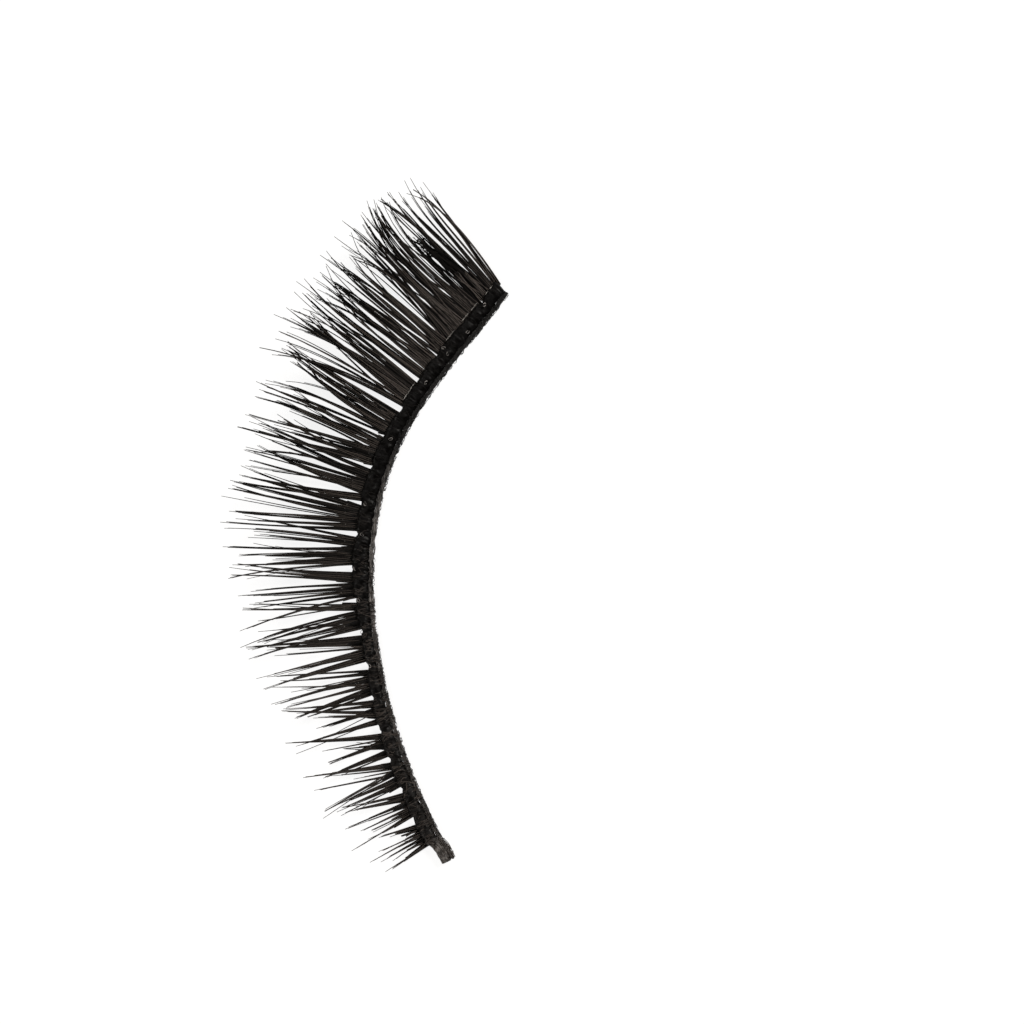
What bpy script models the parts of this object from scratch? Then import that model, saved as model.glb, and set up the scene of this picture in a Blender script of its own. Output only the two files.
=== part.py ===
"""A false eyelash strip, lying on a flat surface with its lashes curling up.

The strip is charted by two lengths: s runs along the eye-side edge of the band, from the outer end to
the inner end, and r runs square to that edge, towards the lashes. All lengths here are millimetres until a
mesh is made.
"""

import math
from collections import namedtuple

import bmesh
import bpy
import numpy as np
from mathutils import Matrix, Vector

MM = 0.001

# Band
edge_length = 32.7
band_width = 0.93
band_height = 0.60
corner_cut = 0.07
skin = 0.12
web = 0.15
stub_length = 1.10
ring_step = 0.70

# Thread along the eye side
thread_diameter = 0.26
thread_clearance = 0.03

# Tufts
longest_lash = 8.1
head_clearance = 0.04
head_lip = 0.06
tuft_gap = 0.10
layer_gap = 0.05
lock_inset = 0.02
lock_thickness = 0.20
tip_width = 0.12
tip_thickness = 0.08
swell_distance = 0.40
lock_step = 1.10

# Curl of the lashes, as shares of the reach that they have at each place along the band
curl_start = 0.26
curl_rise = 0.40
sweep_power = 1.25
taper_power = 1.6

# Heading of the edge in plan, in degrees from +X, which changes evenly between the rows
Bend = namedtuple("Bend", "along heading")
BENDS = (
    Bend(0.000, -31.8),
    Bend(0.082, -34.0),
    Bend(0.165, -32.1),
    Bend(0.245, -26.7),
    Bend(0.429, -3.4),
    Bend(0.547, 7.6),
    Bend(0.712, 19.0),
    Bend(1.000, 35.3),
)

# Width of the band, as a share of band_width
Width = namedtuple("Width", "along share")
WIDTHS = (
    Width(0.000, 1.00),
    Width(0.520, 1.00),
    Width(0.640, 0.86),
    Width(0.963, 0.82),
    Width(0.975, 0.74),
    Width(1.000, 0.72),
)

# Outline of the lashes in plan, as a share of longest_lash, and how full the locks are at their roots
Fringe = namedtuple("Fringe", "along reach fullness")
FRINGE = (
    Fringe(0.00, 0.96, 0.98),
    Fringe(0.10, 1.00, 0.98),
    Fringe(0.28, 1.00, 0.94),
    Fringe(0.36, 0.94, 0.84),
    Fringe(0.47, 0.90, 0.72),
    Fringe(0.60, 0.79, 0.70),
    Fringe(0.70, 0.68, 0.66),
    Fringe(0.80, 0.62, 0.62),
    Fringe(0.92, 0.47, 0.60),
    Fringe(1.00, 0.36, 0.60),
)

# The tufts from the outer end inwards. along is a share of edge_length, reach a share of longest_lash, and
# lean the sideways shift of a lock's tip as a share of its own reach, negative towards the outer end.
Tuft = namedtuple("Tuft", "along low_lean low_reach high_lean high_reach")
TUFTS = (
    Tuft(0.012, -0.34, 0.80, -0.16, 0.82),
    Tuft(0.033, -0.19, 0.90, -0.11, 0.92),
    Tuft(0.057, -0.18, 0.92, -0.13, 0.97),
    Tuft(0.082, -0.16, 0.93, -0.06, 1.00),
    Tuft(0.108, -0.11, 0.93, -0.05, 0.87),
    Tuft(0.135, -0.12, 0.85, -0.04, 0.98),
    Tuft(0.161, -0.08, 0.99, -0.01, 0.95),
    Tuft(0.187, -0.08, 0.87, 0.01, 1.00),
    Tuft(0.213, -0.06, 0.97, 0.06, 1.00),
    Tuft(0.240, -0.10, 0.73, 0.04, 0.93),
    Tuft(0.264, -0.04, 0.86, 0.04, 0.99),
    Tuft(0.289, -0.12, 0.73, 0.05, 0.88),
    Tuft(0.312, -0.06, 0.80, 0.00, 0.90),
    Tuft(0.334, -0.05, 0.71, 0.04, 0.90),
    Tuft(0.359, -0.07, 0.87, -0.01, 0.93),
    Tuft(0.383, -0.08, 0.71, -0.02, 0.84),
    Tuft(0.407, -0.06, 0.83, 0.03, 0.86),
    Tuft(0.432, -0.06, 0.87, 0.08, 0.85),
    Tuft(0.464, -0.05, 0.82, 0.00, 0.90),
    Tuft(0.490, -0.03, 0.86, 0.09, 0.81),
    Tuft(0.524, -0.05, 0.82, 0.08, 0.69),
    Tuft(0.544, -0.04, 0.67, 0.10, 0.73),
    Tuft(0.571, -0.08, 0.71, 0.11, 0.78),
    Tuft(0.597, -0.03, 0.61, 0.07, 0.77),
    Tuft(0.621, -0.06, 0.74, 0.00, 0.73),
    Tuft(0.644, -0.09, 0.58, 0.09, 0.71),
    Tuft(0.674, -0.15, 0.61, 0.01, 0.58),
    Tuft(0.697, -0.09, 0.64, 0.12, 0.53),
    Tuft(0.726, -0.17, 0.62, 0.06, 0.41),
    Tuft(0.749, -0.19, 0.54, 0.06, 0.56),
    Tuft(0.778, -0.22, 0.62, 0.12, 0.39),
    Tuft(0.802, -0.13, 0.54, 0.10, 0.46),
    Tuft(0.830, -0.23, 0.59, 0.09, 0.38),
    Tuft(0.852, -0.21, 0.56, 0.08, 0.54),
    Tuft(0.883, -0.22, 0.44, 0.06, 0.44),
    Tuft(0.906, -0.18, 0.36, 0.13, 0.45),
    Tuft(0.933, -0.18, 0.29, 0.10, 0.39),
    Tuft(0.955, -0.10, 0.32, 0.18, 0.32),
)

# Section of a lock, wide across and flat: across in half widths, deep in thicknesses from its layer's inner
# side
LOCK_SECTION = ((-1.0, 0.5), (-0.55, 1.0), (0.55, 1.0), (1.0, 0.5), (0.55, 0.0), (-0.55, 0.0))

COLOURS = {
    "glue": ((0.006, 0.006, 0.007), 0.34),
    "thread": ((0.035, 0.034, 0.036), 0.82),
    "hair": ((0.010, 0.009, 0.009), 0.42),
}


def column(table, name):
    """One column of a table as an array."""
    return np.array([getattr(row, name) for row in table])


def along_table(table, name, s):
    """A column's value at s, evenly between its rows."""
    return np.interp(np.asarray(s) / edge_length, column(table, "along"), column(table, name))


def width_at(s):
    """Width of the band at s, thread included."""
    return band_width * along_table(WIDTHS, "share", s)


def reach_at(s):
    """How far the lashes reach past the band at s, in plan."""
    return longest_lash * along_table(FRINGE, "reach", s)


def edge_points():
    """The edge as finely stepped points, with s and the heading in radians at each."""
    s = np.linspace(0.0, edge_length, 681)
    heading = np.radians(along_table(BENDS, "heading", s))
    middle = 0.5 * (heading[1:] + heading[:-1])
    step = np.diff(s)
    x = np.concatenate([[0.0], np.cumsum(step * np.cos(middle))])
    y = np.concatenate([[0.0], np.cumsum(step * np.sin(middle))])
    return s, x, y, heading


EDGE = edge_points()


def edge_frame(s):
    """Point on the edge at s and the heading there. Past either end the edge runs straight on."""
    known, x, y, heading = EDGE
    held = np.clip(s, 0.0, edge_length)
    turn = np.interp(held, known, heading)
    past = np.asarray(s) - held
    px = np.interp(held, known, x) + past * np.cos(turn)
    py = np.interp(held, known, y) + past * np.sin(turn)
    return px, py, turn


def plan_point(s, r):
    """Plan position of the chart's s and r."""
    px, py, turn = edge_frame(s)
    return px + r * np.sin(turn), py - r * np.cos(turn), turn


seat_height = band_height / 2
slot_floor = thread_diameter + thread_clearance + web
slot_height = band_height - 2 * skin
head_height = slot_height - 2 * head_clearance


def sheet_point(s, d, lift):
    """Point of the curled sheet that the lashes lie on.

    d is the distance past the band's lash side, and lift the distance square to the sheet. The sheet is flat
    at first, and then rises with the square of the distance.
    """
    reach = reach_at(s)
    past = np.maximum(d / reach - curl_start, 0.0) / (1.0 - curl_start)
    height = seat_height + curl_rise * reach * past**2
    slope = np.arctan(2.0 * curl_rise * past / (1.0 - curl_start))
    x, y, _ = plan_point(s, width_at(s) + d - lift * np.sin(slope))
    return np.stack([x, y, height + lift * np.cos(slope)], axis=-1)


def loft(rings):
    """A closed mesh through rings of as many points each, with a face over either end."""
    bm = bmesh.new()
    made = [[bm.verts.new(point) for point in ring] for ring in rings]
    count = len(made[0])
    for first, second in zip(made, made[1:]):
        for i in range(count):
            j = (i + 1) % count
            bm.faces.new((first[i], first[j], second[j], second[i]))
    bm.faces.new(made[0])
    bm.faces.new(made[-1])
    bmesh.ops.recalc_face_normals(bm, faces=bm.faces)
    return bm


def add_object(name, bm, collection, parent, place=None):
    """An object from a mesh in millimetres. Where a place is given, its origin and axes are there."""
    place = place or Matrix.Identity(4)
    bm.transform(place.inverted())
    bm.transform(Matrix.Diagonal((MM, MM, MM, 1.0)))
    mesh = bpy.data.meshes.new(name)
    bm.to_mesh(mesh)
    bm.free()
    made = bpy.data.objects.new(name, mesh)
    collection.objects.link(made)
    made.parent = parent
    made.matrix_local = Matrix.Translation(place.translation * MM) @ place.to_3x3().to_4x4()
    return made


def set_material(made, name):
    """The object's own material."""
    colour, roughness = COLOURS[name]
    material = bpy.data.materials.new(f"{name}_{made.name}")
    material.use_nodes = True
    shader = material.node_tree.nodes["Principled BSDF"]
    shader.inputs["Base Color"].default_value = (*colour, 1.0)
    shader.inputs["Roughness"].default_value = roughness
    shader.inputs["Metallic"].default_value = 0.0
    made.data.materials.clear()
    made.data.materials.append(material)


def as_helper(made):
    """Keeps a cutter or a piece to be joined out of the render."""
    made.hide_render = True
    made.display_type = "WIRE"


def add_boolean(made, other, operation):
    """A live Boolean with the EXACT solver."""
    modifier = made.modifiers.new(f"{operation.lower()}_{other.name}", "BOOLEAN")
    modifier.operation = operation
    modifier.solver = "EXACT"
    modifier.object = other


def ring_stations(start, end):
    """Evenly spaced places along the edge, close enough for its arcs."""
    return np.linspace(start, end, max(2, math.ceil((end - start) / ring_step) + 1))


def strip_loft(start, end, section):
    """A loft along the edge. section gives the r and z of each corner for an s."""
    rings = []
    for s in ring_stations(start, end):
        r, z = np.array(section(s)).T
        x, y, _ = plan_point(s, r)
        rings.append(np.stack([x, y, z], axis=-1))
    return loft(rings)


def band_section(s):
    """Corners of the band: square to the thread, its lash side cut at top and bottom."""
    near = thread_diameter / 2
    far = width_at(s)
    return (
        (near, 0.0),
        (far - corner_cut, 0.0),
        (far, corner_cut),
        (far, band_height - corner_cut),
        (far - corner_cut, band_height),
        (near, band_height),
    )


def slot_section(s):
    """Corners of the slot that holds the heads, open past the lash side."""
    mouth = width_at(s) + band_width
    return (
        (slot_floor, skin),
        (mouth, skin),
        (mouth, band_height - skin),
        (slot_floor, band_height - skin),
    )


def thread_curve(name, diameter, start, end, collection):
    """A round bar along the edge, as a bevelled curve with filled caps."""
    curve = bpy.data.curves.new(name, "CURVE")
    curve.dimensions = "3D"
    curve.bevel_depth = diameter / 2 * MM
    curve.bevel_resolution = 2
    curve.use_fill_caps = True
    stations = ring_stations(start, end)
    spline = curve.splines.new("POLY")
    spline.points.add(len(stations) - 1)
    for point, s in zip(spline.points, stations):
        x, y, _ = plan_point(s, thread_diameter / 2)
        point.co = (x * MM, y * MM, seat_height * MM, 1.0)
    made = bpy.data.objects.new(name, curve)
    collection.objects.link(made)
    return made


def thread_mesh(name, diameter, start, end, collection, parent):
    """The bar of thread_curve as one closed mesh."""
    bar = thread_curve(f"{name}_curve", diameter, start, end, collection)
    graph = bpy.context.evaluated_depsgraph_get()
    mesh = bpy.data.meshes.new_from_object(bar.evaluated_get(graph))
    bm = bmesh.new()
    bm.from_mesh(mesh)
    bmesh.ops.remove_doubles(bm, verts=bm.verts, dist=1e-7)
    bmesh.ops.recalc_face_normals(bm, faces=bm.faces)
    bm.transform(Matrix.Diagonal((1 / MM, 1 / MM, 1 / MM, 1.0)))
    bpy.data.objects.remove(bar)
    bpy.data.meshes.remove(mesh)
    return add_object(name, bm, collection, parent)


def tuft_spans():
    """Where each tuft's head starts and ends along the edge, half a tuft_gap from the next."""
    knots = column(TUFTS, "along") * edge_length
    between = 0.5 * (knots[1:] + knots[:-1])
    last = min(2 * knots[-1] - between[-1], edge_length - stub_length)
    ends = np.concatenate([[0.0], between, [last]])
    half = np.minimum(knots - ends[:-1], ends[1:] - knots) - tuft_gap / 2
    return knots, half


def lock_rings(knot, half, lean, reach, layer):
    """Rings of one lock, from inside its head to its tip. layer is -1 for the lower sheet and 1 above it."""
    root_thickness = head_height / 2 - layer_gap / 2 - lock_inset
    belly_thickness = seat_height - layer_gap / 2 if layer < 0 else lock_thickness
    root_half = (half - lock_inset) * along_table(FRINGE, "fullness", knot)
    swollen = max(2, math.ceil((reach - swell_distance) / lock_step) + 1)
    inside = -0.5 * (width_at(knot) - slot_floor)
    stations = np.concatenate([[inside, head_lip], np.linspace(swell_distance, reach, swollen)])
    shares = np.clip(stations / reach, 0.0, 1.0)
    taper = 1.0 - shares**taper_power
    rings = []
    for d, share, full in zip(stations, shares, taper):
        thickness = root_thickness
        if d >= swell_distance:
            fill = min(1.0, full / (1.0 - curl_start**taper_power))
            thickness = tip_thickness + (belly_thickness - tip_thickness) * fill
        half_width = tip_width / 2 + (root_half - tip_width / 2) * full
        across = np.array([corner[0] for corner in LOCK_SECTION]) * half_width
        lift = layer * (layer_gap / 2 + thickness * np.array([corner[1] for corner in LOCK_SECTION]))
        s = knot + lean * reach * share**sweep_power
        rings.append(sheet_point(s + across, np.full(len(across), d), lift))
    return rings


def head_mesh(knot, half, place):
    """The head: a block that fills its stretch of the slot and stands a little out of its mouth."""
    near = slot_floor + head_clearance
    far = width_at(knot) + head_lip / 2
    bm = bmesh.new()
    bmesh.ops.create_cube(bm, size=1.0)
    bm.transform(Matrix.Diagonal((2 * half, far - near, head_height, 1.0)))
    bm.transform(Matrix.Translation((0.0, -(near + far) / 2, 0.0)))
    bm.transform(place)
    return bm


def knot_place(knot):
    """Matrix of a tuft: origin on the edge at seat height, +X along the edge and -Y towards the lashes."""
    x, y, turn = edge_frame(knot)
    return Matrix.Translation((x, y, seat_height)) @ Matrix.Rotation(float(turn), 4, "Z")


def make_band(parts, helpers, parent):
    """The glued strip, with the slot for the heads and the groove for the thread cut out of it."""
    band = add_object("band", strip_loft(0.0, edge_length, band_section), parts, parent)
    knots, half = tuft_spans()
    slot_end = knots[-1] + half[-1] + head_clearance
    slot = add_object("slot_cutter", strip_loft(-band_width, slot_end, slot_section), helpers, parent)
    bore = thread_diameter + 2 * thread_clearance
    groove = thread_mesh("groove_cutter", bore, -band_width, edge_length + band_width, helpers, parent)
    for cutter in (slot, groove):
        as_helper(cutter)
        add_boolean(band, cutter, "DIFFERENCE")
    set_material(band, "glue")


def make_thread(parts, parent):
    """The spun thread, seated in the band's groove and flush with both ends."""
    thread = thread_mesh("edge_thread", thread_diameter, 0.0, edge_length, parts, parent)
    thread.data.shade_smooth()
    set_material(thread, "thread")


def make_tuft(number, row, knot, half, parts, helpers, parent):
    """One tuft: a head with a lower and an upper lock joined to it."""
    name = f"lash_tuft_{number:02d}"
    place = knot_place(knot)
    tuft = add_object(name, head_mesh(knot, half, place), parts, parent, place)
    locks = (("low", row.low_lean, row.low_reach, -1), ("high", row.high_lean, row.high_reach, 1))
    for kind, lean, reach, layer in locks:
        rings = lock_rings(knot, half, lean, reach * longest_lash, layer)
        lock = add_object(f"{name}_{kind}", loft(rings), helpers, parent, place)
        as_helper(lock)
        add_boolean(tuft, lock, "UNION")
    set_material(tuft, "hair")


def centre_on_base(root, parts):
    """Moves the whole strip so that the origin is under the middle of its box."""
    bpy.context.view_layer.update()
    graph = bpy.context.evaluated_depsgraph_get()
    corners = []
    for made in parts.objects:
        evaluated = made.evaluated_get(graph)
        corners += [evaluated.matrix_world @ Vector(corner) for corner in evaluated.bound_box]
    low = [min(corner[i] for corner in corners) for i in range(3)]
    high = [max(corner[i] for corner in corners) for i in range(3)]
    root.location = (-(low[0] + high[0]) / 2, -(low[1] + high[1]) / 2, -low[2])


def main():
    """Builds the strip in an empty scene."""
    for made in list(bpy.data.objects):
        bpy.data.objects.remove(made)
    parts = bpy.data.collections.new("eyelash_strip")
    helpers = bpy.data.collections.new("helpers")
    for collection in (parts, helpers):
        bpy.context.scene.collection.children.link(collection)
    root = bpy.data.objects.new("strip_origin", None)
    bpy.context.scene.collection.objects.link(root)
    make_band(parts, helpers, root)
    make_thread(parts, root)
    for number, (row, knot, half) in enumerate(zip(TUFTS, *tuft_spans()), start=1):
        make_tuft(number, row, knot, half, parts, helpers, root)
    centre_on_base(root, parts)


main()
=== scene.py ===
"""The looks of a false eyelash strip: its fibres, knots, glue and spun thread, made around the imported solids.

The strip is charted as its solids are. s runs along the eye-side edge of the band from the outer end, r runs
square to that edge towards the lashes, and d is the part of r past the band's lash side. Lengths are in
millimetres until they enter a mesh.
"""

import logging
import math
from collections.abc import Sequence
from dataclasses import dataclass, field
from enum import Enum
from typing import NamedTuple

import bpy
import numpy as np
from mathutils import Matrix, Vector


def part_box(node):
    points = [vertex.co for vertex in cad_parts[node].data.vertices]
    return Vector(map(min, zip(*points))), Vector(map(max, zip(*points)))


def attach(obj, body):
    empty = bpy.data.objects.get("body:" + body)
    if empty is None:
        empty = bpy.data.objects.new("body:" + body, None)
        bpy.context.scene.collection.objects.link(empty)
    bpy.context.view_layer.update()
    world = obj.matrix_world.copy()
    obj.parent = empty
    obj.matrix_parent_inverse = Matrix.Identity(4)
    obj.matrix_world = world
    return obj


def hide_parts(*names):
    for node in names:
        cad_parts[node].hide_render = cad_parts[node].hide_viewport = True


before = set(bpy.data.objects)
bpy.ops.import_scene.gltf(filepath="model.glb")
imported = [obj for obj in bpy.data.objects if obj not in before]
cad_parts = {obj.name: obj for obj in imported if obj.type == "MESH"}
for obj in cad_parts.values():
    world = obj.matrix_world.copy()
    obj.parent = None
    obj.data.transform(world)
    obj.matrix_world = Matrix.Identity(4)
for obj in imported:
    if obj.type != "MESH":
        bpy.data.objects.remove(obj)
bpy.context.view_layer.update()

MM = 0.001
STRAND_MAP = "Strand"
# How many sines a random relief sums
RIPPLE_SINES = 9
# Shares of red, green and blue in the charted greys
WARM_GREY = (1.0, 0.93, 0.88)

Colour = tuple[float, float, float, float]

log = logging.getLogger("eyelash_strip")


class Slot(Enum):
    """The record's material slots."""

    GLUE = "band_glue"
    THREAD = "thread"
    FIBRE = "lash_fibre"


class Kind(Enum):
    """How full a lock is, as a share of the fibres usual at its place.

    A fine lock has a few fibres wherever it is.
    """

    FINE = 0.0
    FULL = 1.0
    THICK = 1.5
    DENSE = 4.2


class Bend(NamedTuple):
    """Heading of the edge in degrees from +X, at a share of its length."""

    along: float
    heading: float


class Width(NamedTuple):
    """Width of the band as a share of its full width, at a share of the edge's length."""

    along: float
    share: float


class Fringe(NamedTuple):
    """How far the lashes reach, as a share of the longest, at a share of the edge's length."""

    along: float
    reach: float


class Zone(NamedTuple):
    """What the locks are like at a share of the edge's length.

    pitch is the spacing of the fibres in one layer and thick their diameter at the root, and scatter, bow and
    hook are how far a bunch strays evenly, halfway and at its tip, all in millimetres. taper is the power
    with which a fibre thins. bunch is how many neighbours make a bunch and closing how far they close up.
    draw is the power with which bunches draw together, and shortest the shortest bunch of a lock as a share
    of its length. pale is how light the upper fibres are, as painted highlight, and ground how
    light the others are, darkened as painted shade, both between 0 and 1.
    """

    along: float
    pitch: float
    thick: float
    taper: float
    bunch: float
    closing: float
    scatter: float
    bow: float
    hook: float
    draw: float
    shortest: float
    pale: float
    ground: float


class Gap(NamedTuple):
    """A gap between tufts.

    at is its place along the edge and half its half width at the root, in thousandths of the edge's length.
    bottom is how far from the edge the glue reaches in it, in hundredths of a millimetre.
    """

    at: int
    half: int
    bottom: int


class Lock(NamedTuple):
    """One lock of fibres, and how full it is.

    root and tip are places along the edge, bow is the sideways bulge halfway and hook the part of the
    sideways way that is left to the tip, all in thousandths of the edge's length. reach is the distance past
    the band's lash side in hundredths of the longest lash.
    """

    root: int
    tip: int
    reach: int
    bow: int = 0
    hook: int = 0
    kind: Kind = Kind.FULL


class Creep(NamedTuple):
    """How far glue has crept up the roots, in millimetres, at a share of the edge's length."""

    along: float
    length: float


class Loop(NamedTuple):
    """A loop at a knot: thousandths of the edge's length, and hundredths of a millimetre from the edge."""

    at: int
    out: int


class Lip(NamedTuple):
    """A lip of glue: thousandths of the edge's length, and hundredths of a millimetre from the edge."""

    start: int
    end: int
    out: int


class Wave(NamedTuple):
    """Random relief: height and usual length of its waves in millimetres, and the seed of its draw."""

    height: float
    pitch: float
    seed: int


class Grain(NamedTuple):
    """A grain: its scale for places in metres, and the two noise values between which its mask rises."""

    scale: float
    low: float
    high: float


class Tone(NamedTuple):
    """A grey of a finish, as linear reflectance, at a share of the strip's length."""

    along: float
    grey: float


class Lamp(NamedTuple):
    """A soft box: its heading and rise in degrees, distance and size in metres, and power in watts."""

    name: str
    turn: float
    rise: float
    distance: float
    size: float
    power: float


BENDS = (
    Bend(0.000, -31.8),
    Bend(0.082, -34.0),
    Bend(0.165, -32.1),
    Bend(0.245, -26.7),
    Bend(0.429, -3.4),
    Bend(0.547, 7.6),
    Bend(0.712, 19.0),
    Bend(1.000, 35.3),
)

WIDTHS = (
    Width(0.000, 1.00),
    Width(0.520, 1.00),
    Width(0.640, 0.86),
    Width(0.963, 0.82),
    Width(0.975, 0.74),
    Width(1.000, 0.72),
)

FRINGE = (
    Fringe(0.00, 0.96),
    Fringe(0.10, 1.00),
    Fringe(0.28, 1.00),
    Fringe(0.36, 0.94),
    Fringe(0.47, 0.90),
    Fringe(0.60, 0.79),
    Fringe(0.70, 0.68),
    Fringe(0.80, 0.62),
    Fringe(0.92, 0.47),
    Fringe(1.00, 0.36),
)

# The last two columns are painted: highlight on the upper fibres and shade on the others
ZONES = (
    Zone(0.00, 0.050, 0.066, 3.0, 6, 0.06, 0.11, 0.12, 0.52, 0.82, 0.85, 1.00, 0.03),
    Zone(0.25, 0.050, 0.066, 3.0, 6, 0.08, 0.10, 0.10, 0.30, 0.82, 0.80, 1.00, 0.03),
    Zone(0.40, 0.054, 0.062, 2.6, 8, 0.18, 0.045, 0.05, 0.10, 0.98, 0.68, 0.74, 0.04),
    Zone(0.60, 0.066, 0.058, 2.0, 9, 0.26, 0.030, 0.03, 0.05, 1.05, 0.50, 0.85, 0.32),
    Zone(1.00, 0.080, 0.054, 1.8, 9, 0.28, 0.025, 0.02, 0.04, 1.10, 0.45, 0.90, 0.58),
)

GAPS = (
    Gap(37, 2, 84), Gap(149, 2, 92), Gap(199, 4, 92), Gap(251, 5, 80), Gap(299, 3, 95), Gap(350, 4, 95),
    Gap(407, 4, 95), Gap(455, 5, 95), Gap(508, 6, 104), Gap(558, 5, 88), Gap(608, 5, 70), Gap(662, 7, 66),
    Gap(713, 5, 76), Gap(765, 8, 84), Gap(815, 6, 85), Gap(866, 6, 80), Gap(918, 8, 86), Gap(971, 2, 74),
)

# Places of the knots along the edge, in thousandths of its length, one for each packed tuft
KNOTS = (
    12, 33, 57, 82, 108, 135, 161, 187, 213, 240, 264, 289, 312,
    334, 359, 383, 407, 432, 464, 490, 524, 544, 571, 597, 621, 644,
    674, 697, 726, 749, 778, 802, 830, 852, 883, 906, 933, 955,
)

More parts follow.
